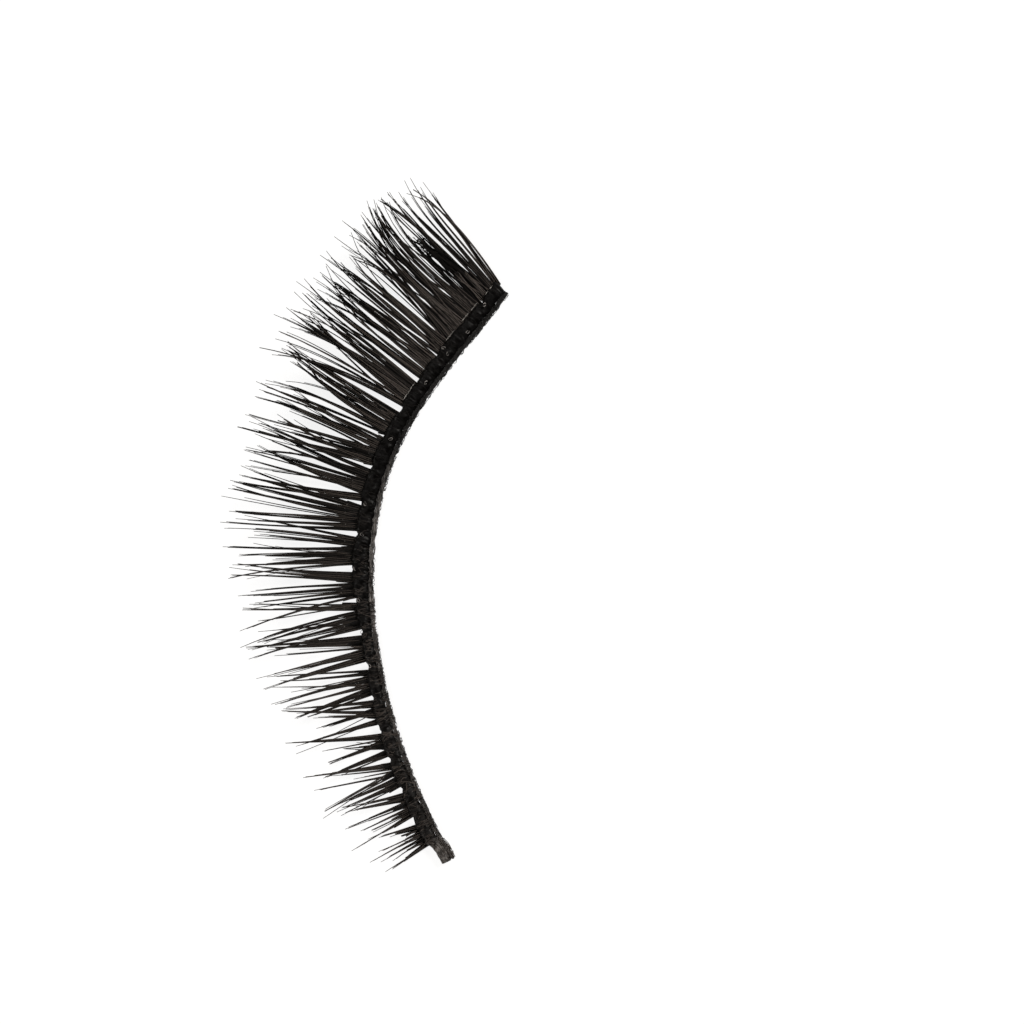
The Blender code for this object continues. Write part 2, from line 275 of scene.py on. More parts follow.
LOCKS = tuple(
    Lock(*row)
    for row in (
        (0, -58, 81, -3), (4, -22, 86, 3, -12, Kind.FINE), (7, -50, 84, -3, -8), (12, -40, 88, -4, -14),
        (14, -8, 90, 2, -24, Kind.FINE), (10, 12, 54, 0, 0, Kind.DENSE), (17, -22, 83, -5, -10),
        (20, 16, 62, 0, 0, Kind.DENSE), (23, -9, 91, -3, -8), (25, 34, 88, 0, -10, Kind.FINE),
        (28, 4, 92, -4, 4), (31, 18, 68, 0, 0, Kind.DENSE), (35, 6, 93, 0, -8),
        (38, -12, 92, -4, 6, Kind.FINE), (41, 20, 60, 0, 0, Kind.DENSE), (45, 3, 93, 2, -24),
        (47, 44, 90, 3, -26, Kind.FINE), (50, 11, 95, 4, -26), (54, 24, 64, 0, 0, Kind.THICK),
        (58, 16, 92, 3, -26), (61, 52, 88, 0, -30, Kind.FINE), (65, 22, 94, 4, -30),
        (70, 40, 100, 0, -20, Kind.FINE), (74, 25, 99, 4, -34), (77, 62, 92, 2, -20, Kind.FINE),
        (81, 33, 95, 5, -30), (84, 117, 103, -5, 8, Kind.FINE), (87, 50, 93, 4, -18),
        (90, 36, 95, 3, 4, Kind.FINE), (92, 80, 68, 0, 0, Kind.THICK), (96, 65, 103, 3),
        (98, 98, 90, -3, 6, Kind.FINE), (100, 73, 97, 2), (108, 81, 93), (111, 60, 92, 4, -8, Kind.FINE),
        (117, 97, 87, -5), (120, 128, 88, 0, -6, Kind.FINE), (123, 106, 86, 5, -12, Kind.FINE),
        (130, 126, 87, -3), (132, 96, 94, 3, -10, Kind.FINE), (136, 121, 99, 4, -14), (141, 141, 100, -5),
        (143, 122, 94, 2, -8, Kind.FINE), (145, 160, 84, 0, 4), (149, 143, 90), (155, 150, 82, 0, -4),
        (158, 159, 95, -5), (161, 140, 92, 3, -6, Kind.FINE), (166, 179, 89, -3),
        (171, 152, 84, 2, 0, Kind.FINE), (179, 161, 95, 4), (184, 187, 81, -2),
        (188, 206, 88, -3, 0, Kind.FINE), (191, 189, 102), (199, 219, 97, -6, 0, Kind.FINE),
        (206, 197, 101, -2), (212, 201, 93, -2), (214, 230, 86, -3, 4, Kind.FINE), (217, 209, 85, -2),
        (225, 232, 102, -8, 0, Kind.THICK), (228, 212, 92, 2, 0, Kind.FINE), (234, 211, 85, 2),
        (240, 250, 94, -5), (242, 274, 98, -5, 0, Kind.THICK), (245, 214, 78, 3, 0, Kind.FINE),
        (261, 256, 86, -2), (268, 260, 83), (268, 284, 74, 0, 0, Kind.FINE), (274, 258, 87, 3),
        (280, 263, 77, 2), (287, 266, 72, 2), (292, 301, 87, -5), (298, 304, 83, -2), (301, 309, 91),
        (307, 314, 90), (314, 299, 70, -1), (318, 314, 74), (321, 306, 54, 0, 0, Kind.FINE), (324, 342, 90),
        (329, 321, 64, -5, 0, Kind.FINE), (331, 345, 80), (340, 355, 94, 2), (345, 326, 70, 3),
        (348, 354, 80), (358, 342, 87), (362, 372, 72, -5), (365, 345, 74, 2), (369, 358, 80, -2),
        (374, 374, 84, -2), (377, 378, 83), (380, 395, 82), (381, 372, 77), (386, 385, 80), (389, 374, 61),
        (397, 404, 83, 2), (401, 414, 86), (410, 395, 83, 2), (415, 403, 77), (420, 412, 85), (426, 418, 87),
        (432, 426, 90, 0, 0, Kind.FINE), (435, 446, 85), (441, 453, 82, 2), (447, 459, 90, 2), (462, 446, 77),
        (467, 465, 90, -3), (472, 467, 74), (476, 484, 86, 3), (482, 493, 76, 2),
        (488, 482, 67, 0, 0, Kind.FINE), (495, 508, 81, 2), (501, 521, 82), (519, 507, 80), (524, 513, 81),
        (529, 521, 82, -2), (532, 538, 68), (538, 544, 79, 2), (544, 555, 67), (547, 561, 72),
        (553, 591, 78, -3, 0, Kind.THICK), (558, 581, 67), (566, 555, 70, 0, 0, Kind.FINE), (571, 561, 74, 2),
        (577, 610, 78, -3), (583, 607, 67), (594, 616, 74, 2), (596, 592, 67, 0, 0, Kind.FINE),
        (600, 624, 73), (618, 610, 78), (626, 615, 64), (630, 616, 61), (633, 627, 57), (637, 654, 72),
        (641, 652, 61), (649, 668, 69), (654, 665, 54), (670, 651, 64), (675, 662, 57), (681, 692, 65, -2),
        (687, 678, 44), (691, 697, 57), (694, 667, 66, 0, 0, Kind.FINE), (700, 716, 53), (707, 718, 46),
        (721, 699, 59), (727, 711, 51), (731, 737, 42), (735, 739, 36), (740, 700, 62, 0, 0, Kind.THICK),
        (745, 721, 41), (750, 755, 57), (755, 753, 38), (774, 745, 62, 0, 0, Kind.THICK),
        (783, 771, 41, 0, 0, Kind.FINE), (788, 791, 40), (793, 777, 28), (804, 807, 45), (809, 811, 34),
        (820, 806, 44), (825, 796, 59, 0, 0, Kind.THICK), (836, 823, 28, 0, 0, Kind.FINE), (839, 854, 55),
        (841, 820, 55, 0, 0, Kind.THICK), (846, 851, 44), (857, 858, 42), (862, 866, 45), (878, 857, 42),
        (881, 865, 38), (892, 887, 45), (898, 900, 36), (901, 905, 29), (909, 919, 45, 0, 0, Kind.THICK),
        (914, 916, 34), (928, 919, 27), (933, 923, 21), (936, 932, 12, 0, 0, Kind.DENSE), (939, 939, 32),
        (944, 945, 40, 0, 0, Kind.THICK), (946, 944, 14, 0, 0, Kind.DENSE), (949, 952, 33), (953, 958, 25),
        (955, 955, 15, 0, 0, Kind.DENSE), (958, 969, 29), (962, 964, 14, 0, 0, Kind.DENSE), (963, 970, 33),
    )
)

LOOPS = (
    Loop(37, 64), Loop(89, 42), Loop(133, 90), Loop(136, 53), Loop(194, 53), Loop(299, 58),
    Loop(407, 79), Loop(455, 70), Loop(508, 95), Loop(558, 79), Loop(608, 74), Loop(663, 60),
)

# Lips of glue whose light grey is a painted highlight along the glue's edge
LIPS = (
    Lip(2, 24, 93), Lip(42, 58, 101), Lip(64, 81, 103), Lip(100, 121, 104),
    Lip(204, 237, 101), Lip(332, 343, 98), Lip(368, 383, 98), Lip(424, 435, 98),
)

CREEP = (Creep(0.27, 0.2), Creep(0.40, 0.9), Creep(0.84, 0.7), Creep(0.88, 1.1), Creep(1.00, 1.5))

# The thread is soaked with glue at the outer end, dry in the middle and half soaked further in
THREAD_TONES = (
    Tone(0.00, 0.006),
    Tone(0.30, 0.012),
    Tone(0.44, 0.240),
    Tone(0.56, 0.230),
    Tone(0.70, 0.110),
    Tone(0.95, 0.110),
    Tone(0.97, 0.230),
)

# The glue is thin and greyer over the stub
GLUE_TONES = (
    Tone(0.00, 0.004),
    Tone(0.60, 0.004),
    Tone(0.75, 0.012),
    Tone(0.955, 0.016),
    Tone(0.972, 0.270),
)

LAMPS = (
    Lamp("upper_right_box", 135.0, 42.0, 0.60, 0.26, 1.9),
    Lamp("lower_left_box", -50.0, 46.0, 0.60, 0.26, 1.2),
    Lamp("upper_left_box", -145.0, 34.0, 0.60, 0.20, 0.6),
)


def column(table: tuple, name: str) -> np.ndarray:
    """One column of a table as an array."""
    return np.array([getattr(row, name) for row in table], dtype=float)


def unit(vectors: np.ndarray) -> np.ndarray:
    """The vectors at length one."""
    return vectors / np.maximum(np.linalg.norm(vectors, axis=-1, keepdims=True), 1e-12)


def ripple(places: np.ndarray, wave: Wave) -> np.ndarray:
    """Smooth random relief.

    The value is the sum of sines whose directions, phases and pitches are drawn at random round the wave's
    own pitch, over the square root of half their number, so that it mostly lies within twice the wave's
    height.

    Args:
        places: points as rows of x, y and z in millimetres, in any shape that ends with 3.
        wave: the relief's height, pitch and seed.

    Returns:
        One value for each point.
    """
    rng = np.random.default_rng(wave.seed)
    aim = unit(rng.normal(size=(RIPPLE_SINES, 3)))
    turns = math.tau / (wave.pitch * rng.uniform(0.6, 1.6, RIPPLE_SINES))
    phase = rng.uniform(0.0, math.tau, RIPPLE_SINES)
    value = np.zeros(places.shape[:-1])
    for direction, turn, start in zip(aim, turns, phase):
        value += np.sin(turn * (places @ direction) + start)
    return wave.height * (value / math.sqrt(RIPPLE_SINES / 2.0))


@dataclass
class StripChart:
    """Plan and curl of the strip, as its solids have them.

    The heading changes evenly between the rows of BENDS, and the edge is the running sum of short steps along
    it. The lashes lie on a sheet that leaves the band flat and then rises with the square of the distance.
    The stub's flare and the way that the thread lies further out are too small for the solids.
    """

    edge_length: float = 32.7
    band_width: float = 0.93
    band_height: float = 0.60
    thread_diameter: float = 0.26
    thread_outward: float = 0.035
    longest_lash: float = 8.1
    curl_start: float = 0.26
    curl_rise: float = 0.40
    flare_start: float = 31.35
    flare_length: float = 0.75
    flare: float = 0.12
    steps: int = 681
    known: np.ndarray = field(init=False)
    turn: np.ndarray = field(init=False)
    edge: np.ndarray = field(init=False)

    def __post_init__(self) -> None:
        """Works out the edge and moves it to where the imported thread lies."""
        self.known = np.linspace(0.0, self.edge_length, self.steps)
        self.turn = np.radians(self.along(BENDS, "heading", self.known))
        middle = 0.5 * (self.turn[1:] + self.turn[:-1])
        step = np.diff(self.known)[:, None] * np.stack([np.cos(middle), np.sin(middle)], axis=-1)
        self.edge = np.concatenate([np.zeros((1, 2)), np.cumsum(step, axis=0)])
        self.edge += self.shift_to(*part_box("edge_thread"))

    @property
    def thread_middle(self) -> float:
        """Distance of the thread's middle line from the edge."""
        return self.thread_diameter / 2 - self.thread_outward

    def mm(self, thousandths: np.ndarray) -> np.ndarray:
        """Places given in thousandths of the edge's length, in millimetres."""
        return thousandths * (self.edge_length / 1000)

    def shift_to(self, low: Sequence[float], high: Sequence[float]) -> np.ndarray:
        """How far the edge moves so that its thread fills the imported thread's box.

        Args:
            low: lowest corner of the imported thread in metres.
            high: highest corner.

        Returns:
            The shift in x and y, in millimetres.
        """
        inside = self.known[self.known < self.flare_start]
        sides = [self.plan(inside, np.full(len(inside), r)) for r in (0.0, self.thread_diameter)]
        end = np.array([self.edge_length])
        sides += [self.plan(end, end * 0.0 + self.flare + r) for r in (0.0, self.thread_diameter)]
        own = np.concatenate(sides)
        middle_x = 0.5 * (low[0] + high[0]) / MM - 0.5 * (own[:, 0].min() + own[:, 0].max())
        return np.array([middle_x, high[1] / MM - own[:, 1].max()])

    def along(self, table: tuple, name: str, s: np.ndarray) -> np.ndarray:
        """A column's value at s, evenly between its rows."""
        return np.interp(np.asarray(s) / self.edge_length, column(table, "along"), column(table, name))

    def width(self, s: np.ndarray) -> np.ndarray:
        """Width of the band at s, thread included."""
        return self.band_width * self.along(WIDTHS, "share", s)

    def reach(self, s: np.ndarray) -> np.ndarray:
        """How far the lashes reach past the band at s, in plan."""
        return self.longest_lash * self.along(FRINGE, "reach", s)

    def plan(self, s: np.ndarray, r: np.ndarray) -> np.ndarray:
        """Plan position of s and r. Past either end the edge runs straight on.

        Over the stub everything moves to the eye side, along a smooth step of 3 q squared less 2 q cubed.

        Args:
            s: places along the edge.
            r: distances from the edge, of the same shape.

        Returns:
            x and y for each, as the last axis.
        """
        past_start = np.clip((np.asarray(s) - self.flare_start) / self.flare_length, 0.0, 1.0)
        r = r - self.flare * past_start**2 * (3.0 - 2.0 * past_start)
        held = np.clip(s, 0.0, self.edge_length)
        turn = np.interp(held, self.known, self.turn)
        past = np.asarray(s) - held
        x = np.interp(held, self.known, self.edge[:, 0]) + past * np.cos(turn) + r * np.sin(turn)
        y = np.interp(held, self.known, self.edge[:, 1]) + past * np.sin(turn) - r * np.cos(turn)
        return np.stack([x, y], axis=-1)

    def solid(self, s: np.ndarray, r: np.ndarray, z: np.ndarray) -> np.ndarray:
        """Position in space of s and r at height z."""
        return np.concatenate([self.plan(s, r), np.asarray(z)[..., None]], axis=-1)

    def sheet(self, s: np.ndarray, d: np.ndarray, lift: np.ndarray) -> np.ndarray:
        """Point at s and d on the curled sheet, raised square to it.

        Args:
            s: places along the edge.
            d: distances past the band's lash side.
            lift: distances square to the sheet.

        Returns:
            x, y and z for each, as the last axis.
        """
        reach = self.reach(s)
        past = np.maximum(d / reach - self.curl_start, 0.0) / (1.0 - self.curl_start)
        slope = np.arctan(2.0 * self.curl_rise * past / (1.0 - self.curl_start))
        height = self.band_height / 2 + self.curl_rise * reach * past**2
        return self.solid(s, self.width(s) + d - lift * np.sin(slope), height + lift * np.cos(slope))


@dataclass
class MeshBatch:
    """Closed tubes gathered as arrays, to become one mesh.

    Every vertex also has a strand coordinate: how far along its tube it is, and a number between 0 and 1 that
    the whole tube shares.
    """

    points: list[np.ndarray] = field(default_factory=list)
    quads: list[np.ndarray] = field(default_factory=list)
    tris: list[np.ndarray] = field(default_factory=list)
    strand: list[np.ndarray] = field(default_factory=list)
    count: int = 0

    def add_rings(
        self, rings: np.ndarray, poles: np.ndarray, chance: np.ndarray, held: np.ndarray | None = None
    ) -> None:
        """Closed tubes through rings, with a fan of triangles from each end ring to its pole.

        Args:
            rings: tubes, rings, sides and x y z as its four axes.
            poles: tubes, two ends and x y z.
            chance: the shared number of each tube.
            held: what each tube has all along instead of how far along it is.
        """
        tubes, length, sides, _ = rings.shape
        each = length * sides + 2
        first = self.count + each * np.arange(tubes)[:, None, None]
        row = np.arange(length - 1)[:, None] * sides
        side = np.arange(sides)[None, :]
        following = (side + 1) % sides
        above = row + sides
        corners = np.stack([row + side, row + following, above + following, above + side], axis=-1)
        self.quads.append((first[..., None] + corners[None]).reshape(-1, 4))
        last = (length - 1) * sides
        start_fan = np.stack([np.full(sides, each - 2), following[0], side[0]], axis=-1)
        end_fan = np.stack([np.full(sides, each - 1), last + side[0], last + following[0]], axis=-1)
        self.tris.append((first + np.concatenate([start_fan, end_fan])[None]).reshape(-1, 3))
        self.points.append(np.concatenate([rings.reshape(tubes, -1, 3), poles], axis=1).reshape(-1, 3))
        share = np.repeat(np.linspace(0.0, 1.0, length), sides)
        share = np.concatenate([share, [0.0, 1.0]]) if held is None else held[:, None]
        share = np.broadcast_to(share, (tubes, each))
        own = np.broadcast_to(chance[:, None], (tubes, each))
        self.strand.append(np.stack([share, own], axis=-1).reshape(-1, 2))
        self.count += tubes * each

    def add_tubes(
        self,
        paths: np.ndarray,
        radii: np.ndarray,
        sides: int,
        chance: np.ndarray,
        flat: float = 1.0,
        held: np.ndarray | None = None,
    ) -> None:
        """Tubes of round or elliptical section along paths.

        Each ring is the path's point plus the radius times cosine and sine along two directions that are
        square to the path and to each other. The second is the upper one, and there the radius is multiplied
        by flat.

        Args:
            paths: tubes, points and x y z.
            radii: tubes and points.
            sides: sides of the section.
            chance: the shared number of each tube.
            flat: height of the section over its width.
            held: what each tube has all along instead of how far along it is.
        """
        forward = unit(np.gradient(paths, axis=1))
        upright = np.abs(forward[..., 2:]) > 0.9
        aside = unit(np.cross(forward, np.where(upright, [1.0, 0.0, 0.0], [0.0, 0.0, 1.0])))
        over = np.cross(aside, forward) * flat
        angle = math.tau * np.arange(sides) / sides
        spoke = np.cos(angle)[:, None] * aside[:, :, None, :] + np.sin(angle)[:, None] * over[:, :, None, :]
        rings = paths[:, :, None, :] + radii[:, :, None, None] * spoke
        start = paths[:, :1] - forward[:, :1] * radii[:, :1, None] * 0.5
        end = paths[:, -1:] + forward[:, -1:] * radii[:, -1:, None] * 0.5
        self.add_rings(rings, np.concatenate([start, end], axis=1), chance, held)

    def make(self, name: str) -> bpy.types.Object:
        """The mesh as an object at the origin, smoothly shaded, with its strand coordinates as a UV map.

        Args:
            name: the object's name.

        Returns:
            The object, linked to the scene.
        """
        quads = np.concatenate(self.quads)
        tris = np.concatenate(self.tris)
        corners = np.concatenate([quads.ravel(), tris.ravel()]).astype(np.int32)
        starts = np.concatenate([4 * np.arange(len(quads)), 4 * len(quads) + 3 * np.arange(len(tris))])
        mesh = bpy.data.meshes.new(name)
        mesh.vertices.add(self.count)
        mesh.vertices.foreach_set("co", (np.concatenate(self.points) * MM).astype(np.float32).ravel())
        mesh.loops.add(len(corners))
        mesh.loops.foreach_set("vertex_index", corners)
        mesh.polygons.add(len(starts))
        mesh.polygons.foreach_set("loop_start", starts.astype(np.int32))
        mesh.update(calc_edges=True)
        layer = mesh.uv_layers.new(name=STRAND_MAP)
        layer.data.foreach_set("uv", np.concatenate(self.strand)[corners].astype(np.float32).ravel())
        mesh.polygons.foreach_set("use_smooth", np.ones(len(starts), dtype=bool))
        mesh.update()
        made = bpy.data.objects.new(name, mesh)
        bpy.context.scene.collection.objects.link(made)
        return made


def place(made: bpy.types.Object, material: bpy.types.Material, slot: Slot, *nodes: str) -> None:
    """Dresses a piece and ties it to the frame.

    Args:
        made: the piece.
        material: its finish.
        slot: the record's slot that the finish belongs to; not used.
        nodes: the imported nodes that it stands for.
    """
    made.data.materials.clear()
    made.data.materials.append(material)
    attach(made, "root")
    if nodes:
        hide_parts(*nodes)
    log.info("%s: %d vertices, %d faces", made.name, len(made.data.vertices), len(made.data.polygons))


class Graph:
    """Places and joins the nodes of one shader tree."""

    def __init__(self, tree: bpy.types.NodeTree) -> None:
        """Takes the tree to fill."""
        self.tree = tree

    def feed(self, node: bpy.types.Node, **inputs: object) -> None:
        """Sets inputs of a node.

        Args:
            node: the node.
            inputs: for each input, a value or the socket that feeds it. Its keyword is the input's name with
                spaces as underscores, or its number after an underscore.
        """
        for name, value in inputs.items():
            socket = node.inputs[int(name[1:])] if name[1:].isdigit() else node.inputs[name.replace("_", " ")]
            if isinstance(value, bpy.types.NodeSocket):
                self.tree.links.new(value, socket)
            else:
                socket.default_value = value

    def add(self, kind: str, settings: dict | None = None, **inputs: object) -> bpy.types.bpy_prop_collection:
        """A new node.

        Args:
            kind: the node's type name.
            settings: attributes to set on the node.
            inputs: as feed takes them.

        Returns:
            The node's outputs.
        """
        node = self.tree.nodes.new(kind)
        for name, value in (settings or {}).items():
            setattr(node, name, value)
        self.feed(node, **inputs)
        return node.outputs

    def math(self, operation: str, *values: object) -> bpy.types.NodeSocket:
        """The result of a Math node."""
        inputs = {f"_{place}": value for place, value in enumerate(values)}
        return self.add("ShaderNodeMath", {"operation": operation}, **inputs)[0]

    def ramp(self, value: object, low: float, high: float, start: float, end: float) -> bpy.types.NodeSocket:
        """The value moved from the range low to high into the range start to end, and held there."""
        return self.add("ShaderNodeMapRange", None, _0=value, _1=low, _2=high, _3=start, _4=end)[0]

    def mix(self, share: object, first: object, second: object) -> bpy.types.NodeSocket:
        """A mix of two colours."""
        return self.add("ShaderNodeMix", {"data_type": "RGBA"}, _0=share, _6=first, _7=second)[2]

    def strand(self) -> bpy.types.NodeSocket:
        """The strand coordinates of a piece."""
        return self.add("ShaderNodeUVMap", {"uv_map": STRAND_MAP})[0]

    def along(self) -> bpy.types.NodeSocket:
        """How far along its strand a point lies."""
        return self.add("ShaderNodeSeparateXYZ", None, Vector=self.strand())[0]

    def greys(self, along: bpy.types.NodeSocket, tones: tuple[Tone, ...]) -> bpy.types.NodeSocket:
        """The grey that a table of tones has at a share of the length, evenly between its rows.

        Args:
            along: socket with the share.
            tones: the table.

        Returns:
            The colour.
        """
        colour = self.add("ShaderNodeValToRGB", None, Fac=along)[0]
        steps = colour.node.color_ramp.elements
        while len(steps) < len(tones):
            steps.new(0.5)
        for step, tone in zip(steps, tones):
            step.position = tone.along
            step.color = (*(tone.grey * share for share in WARM_GREY), 1.0)
        return colour

    def grain(self, groups: "Groups", grain: Grain) -> bpy.types.bpy_prop_collection:
        """The grain group over a piece's Object coordinates.

        Args:
            groups: the shared node groups.
            grain: the values for its inputs of the same names.

        Returns:
            The group's outputs.
        """
        here = self.add("ShaderNodeTexCoord")["Object"]
        given = {name.title(): value for name, value in grain._asdict().items()}
        return self.add("ShaderNodeGroup", {"node_tree": groups.grain}, Vector=here, **given)

    def shade(self, groups: "Groups", tone: object, spread: float) -> bpy.types.bpy_prop_collection:
        """The strand group's outputs over a piece's strand coordinates."""
        given = {"Strand": self.strand(), "Tone": tone, "Spread": spread}
        return self.add("ShaderNodeGroup", {"node_tree": groups.strand}, **given)

    def bump(self, height: bpy.types.NodeSocket, strength: float, relief: float) -> bpy.types.NodeSocket:
        """A normal for a relief whose depth is given in millimetres."""
        return self.add("ShaderNodeBump", None, Strength=strength, Distance=relief * MM, Height=height)[0]


def new_group(name: str, inputs: dict[str, str], outputs: dict[str, str]) -> bpy.types.NodeTree:
    """An empty shader node group.

    Args:
        name: the group's name.
        inputs: socket types by socket name.
        outputs: likewise.

    Returns:
        The group.
    """
    group = bpy.data.node_groups.new(name, "ShaderNodeTree")
    for side, sockets in (("INPUT", inputs), ("OUTPUT", outputs)):
        for label, kind in sockets.items():
            group.interface.new_socket(name=label, in_out=side, socket_type=kind)
    return group


def grain_group() -> bpy.types.NodeTree:
    """Fine random grain: a mask between 0 and 1, and a height for relief.

    The mask is fractal noise stretched between Low and High, and the height adds a second noise four times
    finer at a third of the strength.

    Returns:
        The group.
    """
    number = "NodeSocketFloat"
    group = new_group(
        "grain",
        {"Vector": "NodeSocketVector", "Scale": number, "Low": number, "High": number},
        {"Mask": number, "Height": number},
    )
    graph = Graph(group)
    given = graph.add("NodeGroupInput")
    here, scale = given["Vector"], given["Scale"]
    finer = graph.math("MULTIPLY", scale, 4.0)
    coarse = graph.add("ShaderNodeTexNoise", None, Vector=here, Scale=scale, Detail=3.0)[0]
    fine = graph.add("ShaderNodeTexNoise", None, Vector=here, Scale=finer, Detail=2.0)[0]
    mask = graph.ramp(coarse, given["Low"], given["High"], 0.0, 1.0)
    height = graph.math("MULTIPLY_ADD", fine, 0.33, coarse)
    graph.add("NodeGroupOutput", None, Mask=mask, Height=height)
    return group


def strand_group() -> bpy.types.NodeTree:
    """Shade of a strand: its tone, lighter or darker by the number that the strand has to itself.

    The tone's brightness is multiplied by 1 plus Spread times that number less a half.

    Returns:
        The group.
    """
    number = "NodeSocketFloat"
    tint = "NodeSocketColor"
    group = new_group(
        "strand_shade",
        {"Strand": "NodeSocketVector", "Tone": tint, "Spread": number},
        {"Color": tint, "Chance": number},
    )
    graph = Graph(group)
    given = graph.add("NodeGroupInput")
    chance = graph.add("ShaderNodeSeparateXYZ", None, Vector=given["Strand"])[1]
    swing = graph.math("MULTIPLY_ADD", graph.math("SUBTRACT", chance, 0.5), given["Spread"], 1.0)
    shade = graph.add("ShaderNodeHueSaturation", None, Color=given["Tone"], Value=swing)[0]
    graph.add("NodeGroupOutput", None, Color=shade, Chance=chance)
    return group


@dataclass(frozen=True)
class Groups:
    """The node groups that several finishes share."""

    grain: bpy.types.NodeTree = field(default_factory=grain_group)
    strand: bpy.types.NodeTree = field(default_factory=strand_group)


def start_material(name: str) -> tuple[bpy.types.Material, Graph, bpy.types.Node]:
    """A new material.

    Args:
        name: the material's name.

    Returns:
        The material, its graph and its Principled shader.
    """
    material = bpy.data.materials.new(name)
    material.use_nodes = True
    graph = Graph(material.node_tree)
    return material, graph, material.node_tree.nodes["Principled BSDF"]


@dataclass(frozen=True)
class FibreFinish:
    """Fine black synthetic fibre, with painted highlight and shade. The paler a fibre is, the glossier it is
    too.
    """

    name: str = "lash_fibre"
    tone: Colour = (0.054, 0.0455, 0.0400, 1.0)
    # How far the painted highlight and shade swing the tone, fibre by fibre
    spread: float = 1.98
    shine: float = 0.18
    dull: float = 0.80
    smooth: float = 0.28
    smooth_from: float = 0.8
    grain: Grain = Grain(9000.0, 0.3, 0.7)
    strength: float = 0.3
    relief: float = 0.002

    def make(self, groups: Groups) -> bpy.types.Material:
        """A new material with this finish.

        The number that a fibre has to itself sets how light and how glossy it is: lighter is painted highlight
        and darker is painted shade. The grain gives it a faint relief.

        Args:
            groups: the shared node groups.

        Returns:
            The material.
        """
        material, graph, shader = start_material(self.name)
        shade = graph.shade(groups, self.tone, self.spread)
        rough = graph.ramp(shade["Chance"], 0.0, self.smooth_from, self.dull, self.smooth)
        normal = graph.bump(graph.grain(groups, self.grain)["Height"], self.strength, self.relief)
        graph.feed(shader, Base_Color=shade["Color"], Roughness=rough, Normal=normal)
        graph.feed(shader, Specular_IOR_Level=self.shine)
        return material


@dataclass(frozen=True)
class GlueFinish:
    """Dried black lash glue: half gloss with duller patches, pinholes and a wavy skin."""

    name: str = "band_glue"
    dark: Colour = (0.0012, 0.0008, 0.0006, 1.0)
    toned: float = 0.20
    shine: float = 0.13
    gloss: float = 0.34
    dull: float = 0.62
    grain: Grain = Grain(3600.0, 0.42, 0.68)
    strength: float = 0.6
    relief: float = 0.016

    def make(self, groups: Groups) -> bpy.types.Material:
        """A new material with this finish.

        Between its patches the grain draws the charted greys down to nearly black, and the patches are
        duller.

        Args:
            groups: the shared node groups.

        Returns:
            The material.
        """
        material, graph, shader = start_material(self.name)
        grain = graph.grain(groups, self.grain)
        tones = graph.greys(graph.along(), GLUE_TONES)
        colour = graph.mix(grain["Mask"], graph.mix(self.toned, self.dark, tones), tones)
        rough = graph.ramp(grain["Mask"], 0.0, 1.0, self.gloss, self.dull)
        normal = graph.bump(grain["Height"], self.strength, self.relief)
        graph.feed(shader, Base_Color=colour, Roughness=rough, Normal=normal, Specular_IOR_Level=self.shine)
        return material


@dataclass(frozen=True)
class ThreadFinish:
    """Spun black cotton: dull, greyer than the lashes, with paler filaments and a soft nap."""

    name: str = "spun_thread"
    dark: Colour = (0.006, 0.0055, 0.0052, 1.0)
    spread: float = 1.7
    smooth: float = 0.70
    dull: float = 0.92
    nap: float = 0.1
    nap_spread: float = 0.5
    grain: Grain = Grain(2600.0, 0.30, 0.55)
    strength: float = 0.7
    relief: float = 0.012

    def make(self, groups: Groups) -> bpy.types.Material:
        """A new material with this finish.

        The charted greys vary from filament to filament. Between its patches the grain leaves them nearly
        black.

        Args:
            groups: the shared node groups.

        Returns:
            The material.
        """
        material, graph, shader = start_material(self.name)
        grain = graph.grain(groups, self.grain)
        shade = graph.shade(groups, graph.greys(graph.along(), THREAD_TONES), self.spread)
        colour = graph.mix(grain["Mask"], self.dark, shade["Color"])
        rough = graph.ramp(grain["Mask"], 0.0, 1.0, self.smooth, self.dull)
        normal = graph.bump(grain["Height"], self.strength, self.relief)
        graph.feed(shader, Base_Color=colour, Roughness=rough, Normal=normal)
        graph.feed(shader, Sheen_Weight=self.nap, Sheen_Roughness=self.nap_spread)
        return material


@dataclass(frozen=True)
class LipFinish:
    """Thin dried glue on the lips, light grey as a painted highlight along the glue's edge."""

    name: str = "pale_glue"
    dark: Colour = (0.16, 0.15, 0.14, 1.0)
    # Light grey of the painted highlight
    pale: Colour = (0.55, 0.53, 0.50, 1.0)
    dull: float = 0.4
    grain: Grain = Grain(4200.0, 0.35, 0.6)

    def make(self, groups: Groups) -> bpy.types.Material:
        """A new material with this finish.

        The grain's patches take the light grey of the painted highlight and the rest is dark.

        Args:
            groups: the shared node groups.

        Returns:
            The material.
        """
        material, graph, shader = start_material(self.name)
        colour = graph.mix(graph.grain(groups, self.grain)["Mask"], self.dark, self.pale)
        graph.feed(shader, Base_Color=colour, Roughness=self.dull)
        return material


@dataclass(frozen=True)
class FloorFinish:
    """White table, lit evenly from within like a light box, with a faint grain."""

    name: str = "white_table"
    white: Colour = (0.30, 0.30, 0.30, 1.0)
    shade: Colour = (0.28, 0.28, 0.28, 1.0)
    light: Colour = (1.0, 1.0, 1.0, 1.0)
    glow: float = 0.86
    dull: float = 0.9
    grain: Grain = Grain(40.0, 0.3, 0.7)

    def make(self, groups: Groups) -> bpy.types.Material:
        """A new material with this finish.

        The grain's patches are a little darker than the rest, and all of it glows evenly.

        Args:
            groups: the shared node groups.

        Returns:
            The material.
        """
        material, graph, shader = start_material(self.name)
        colour = graph.mix(graph.grain(groups, self.grain)["Mask"], self.white, self.shade)
        graph.feed(shader, Base_Color=colour, Roughness=self.dull)
        graph.feed(shader, Emission_Color=self.light, Emission_Strength=self.glow)
        return material


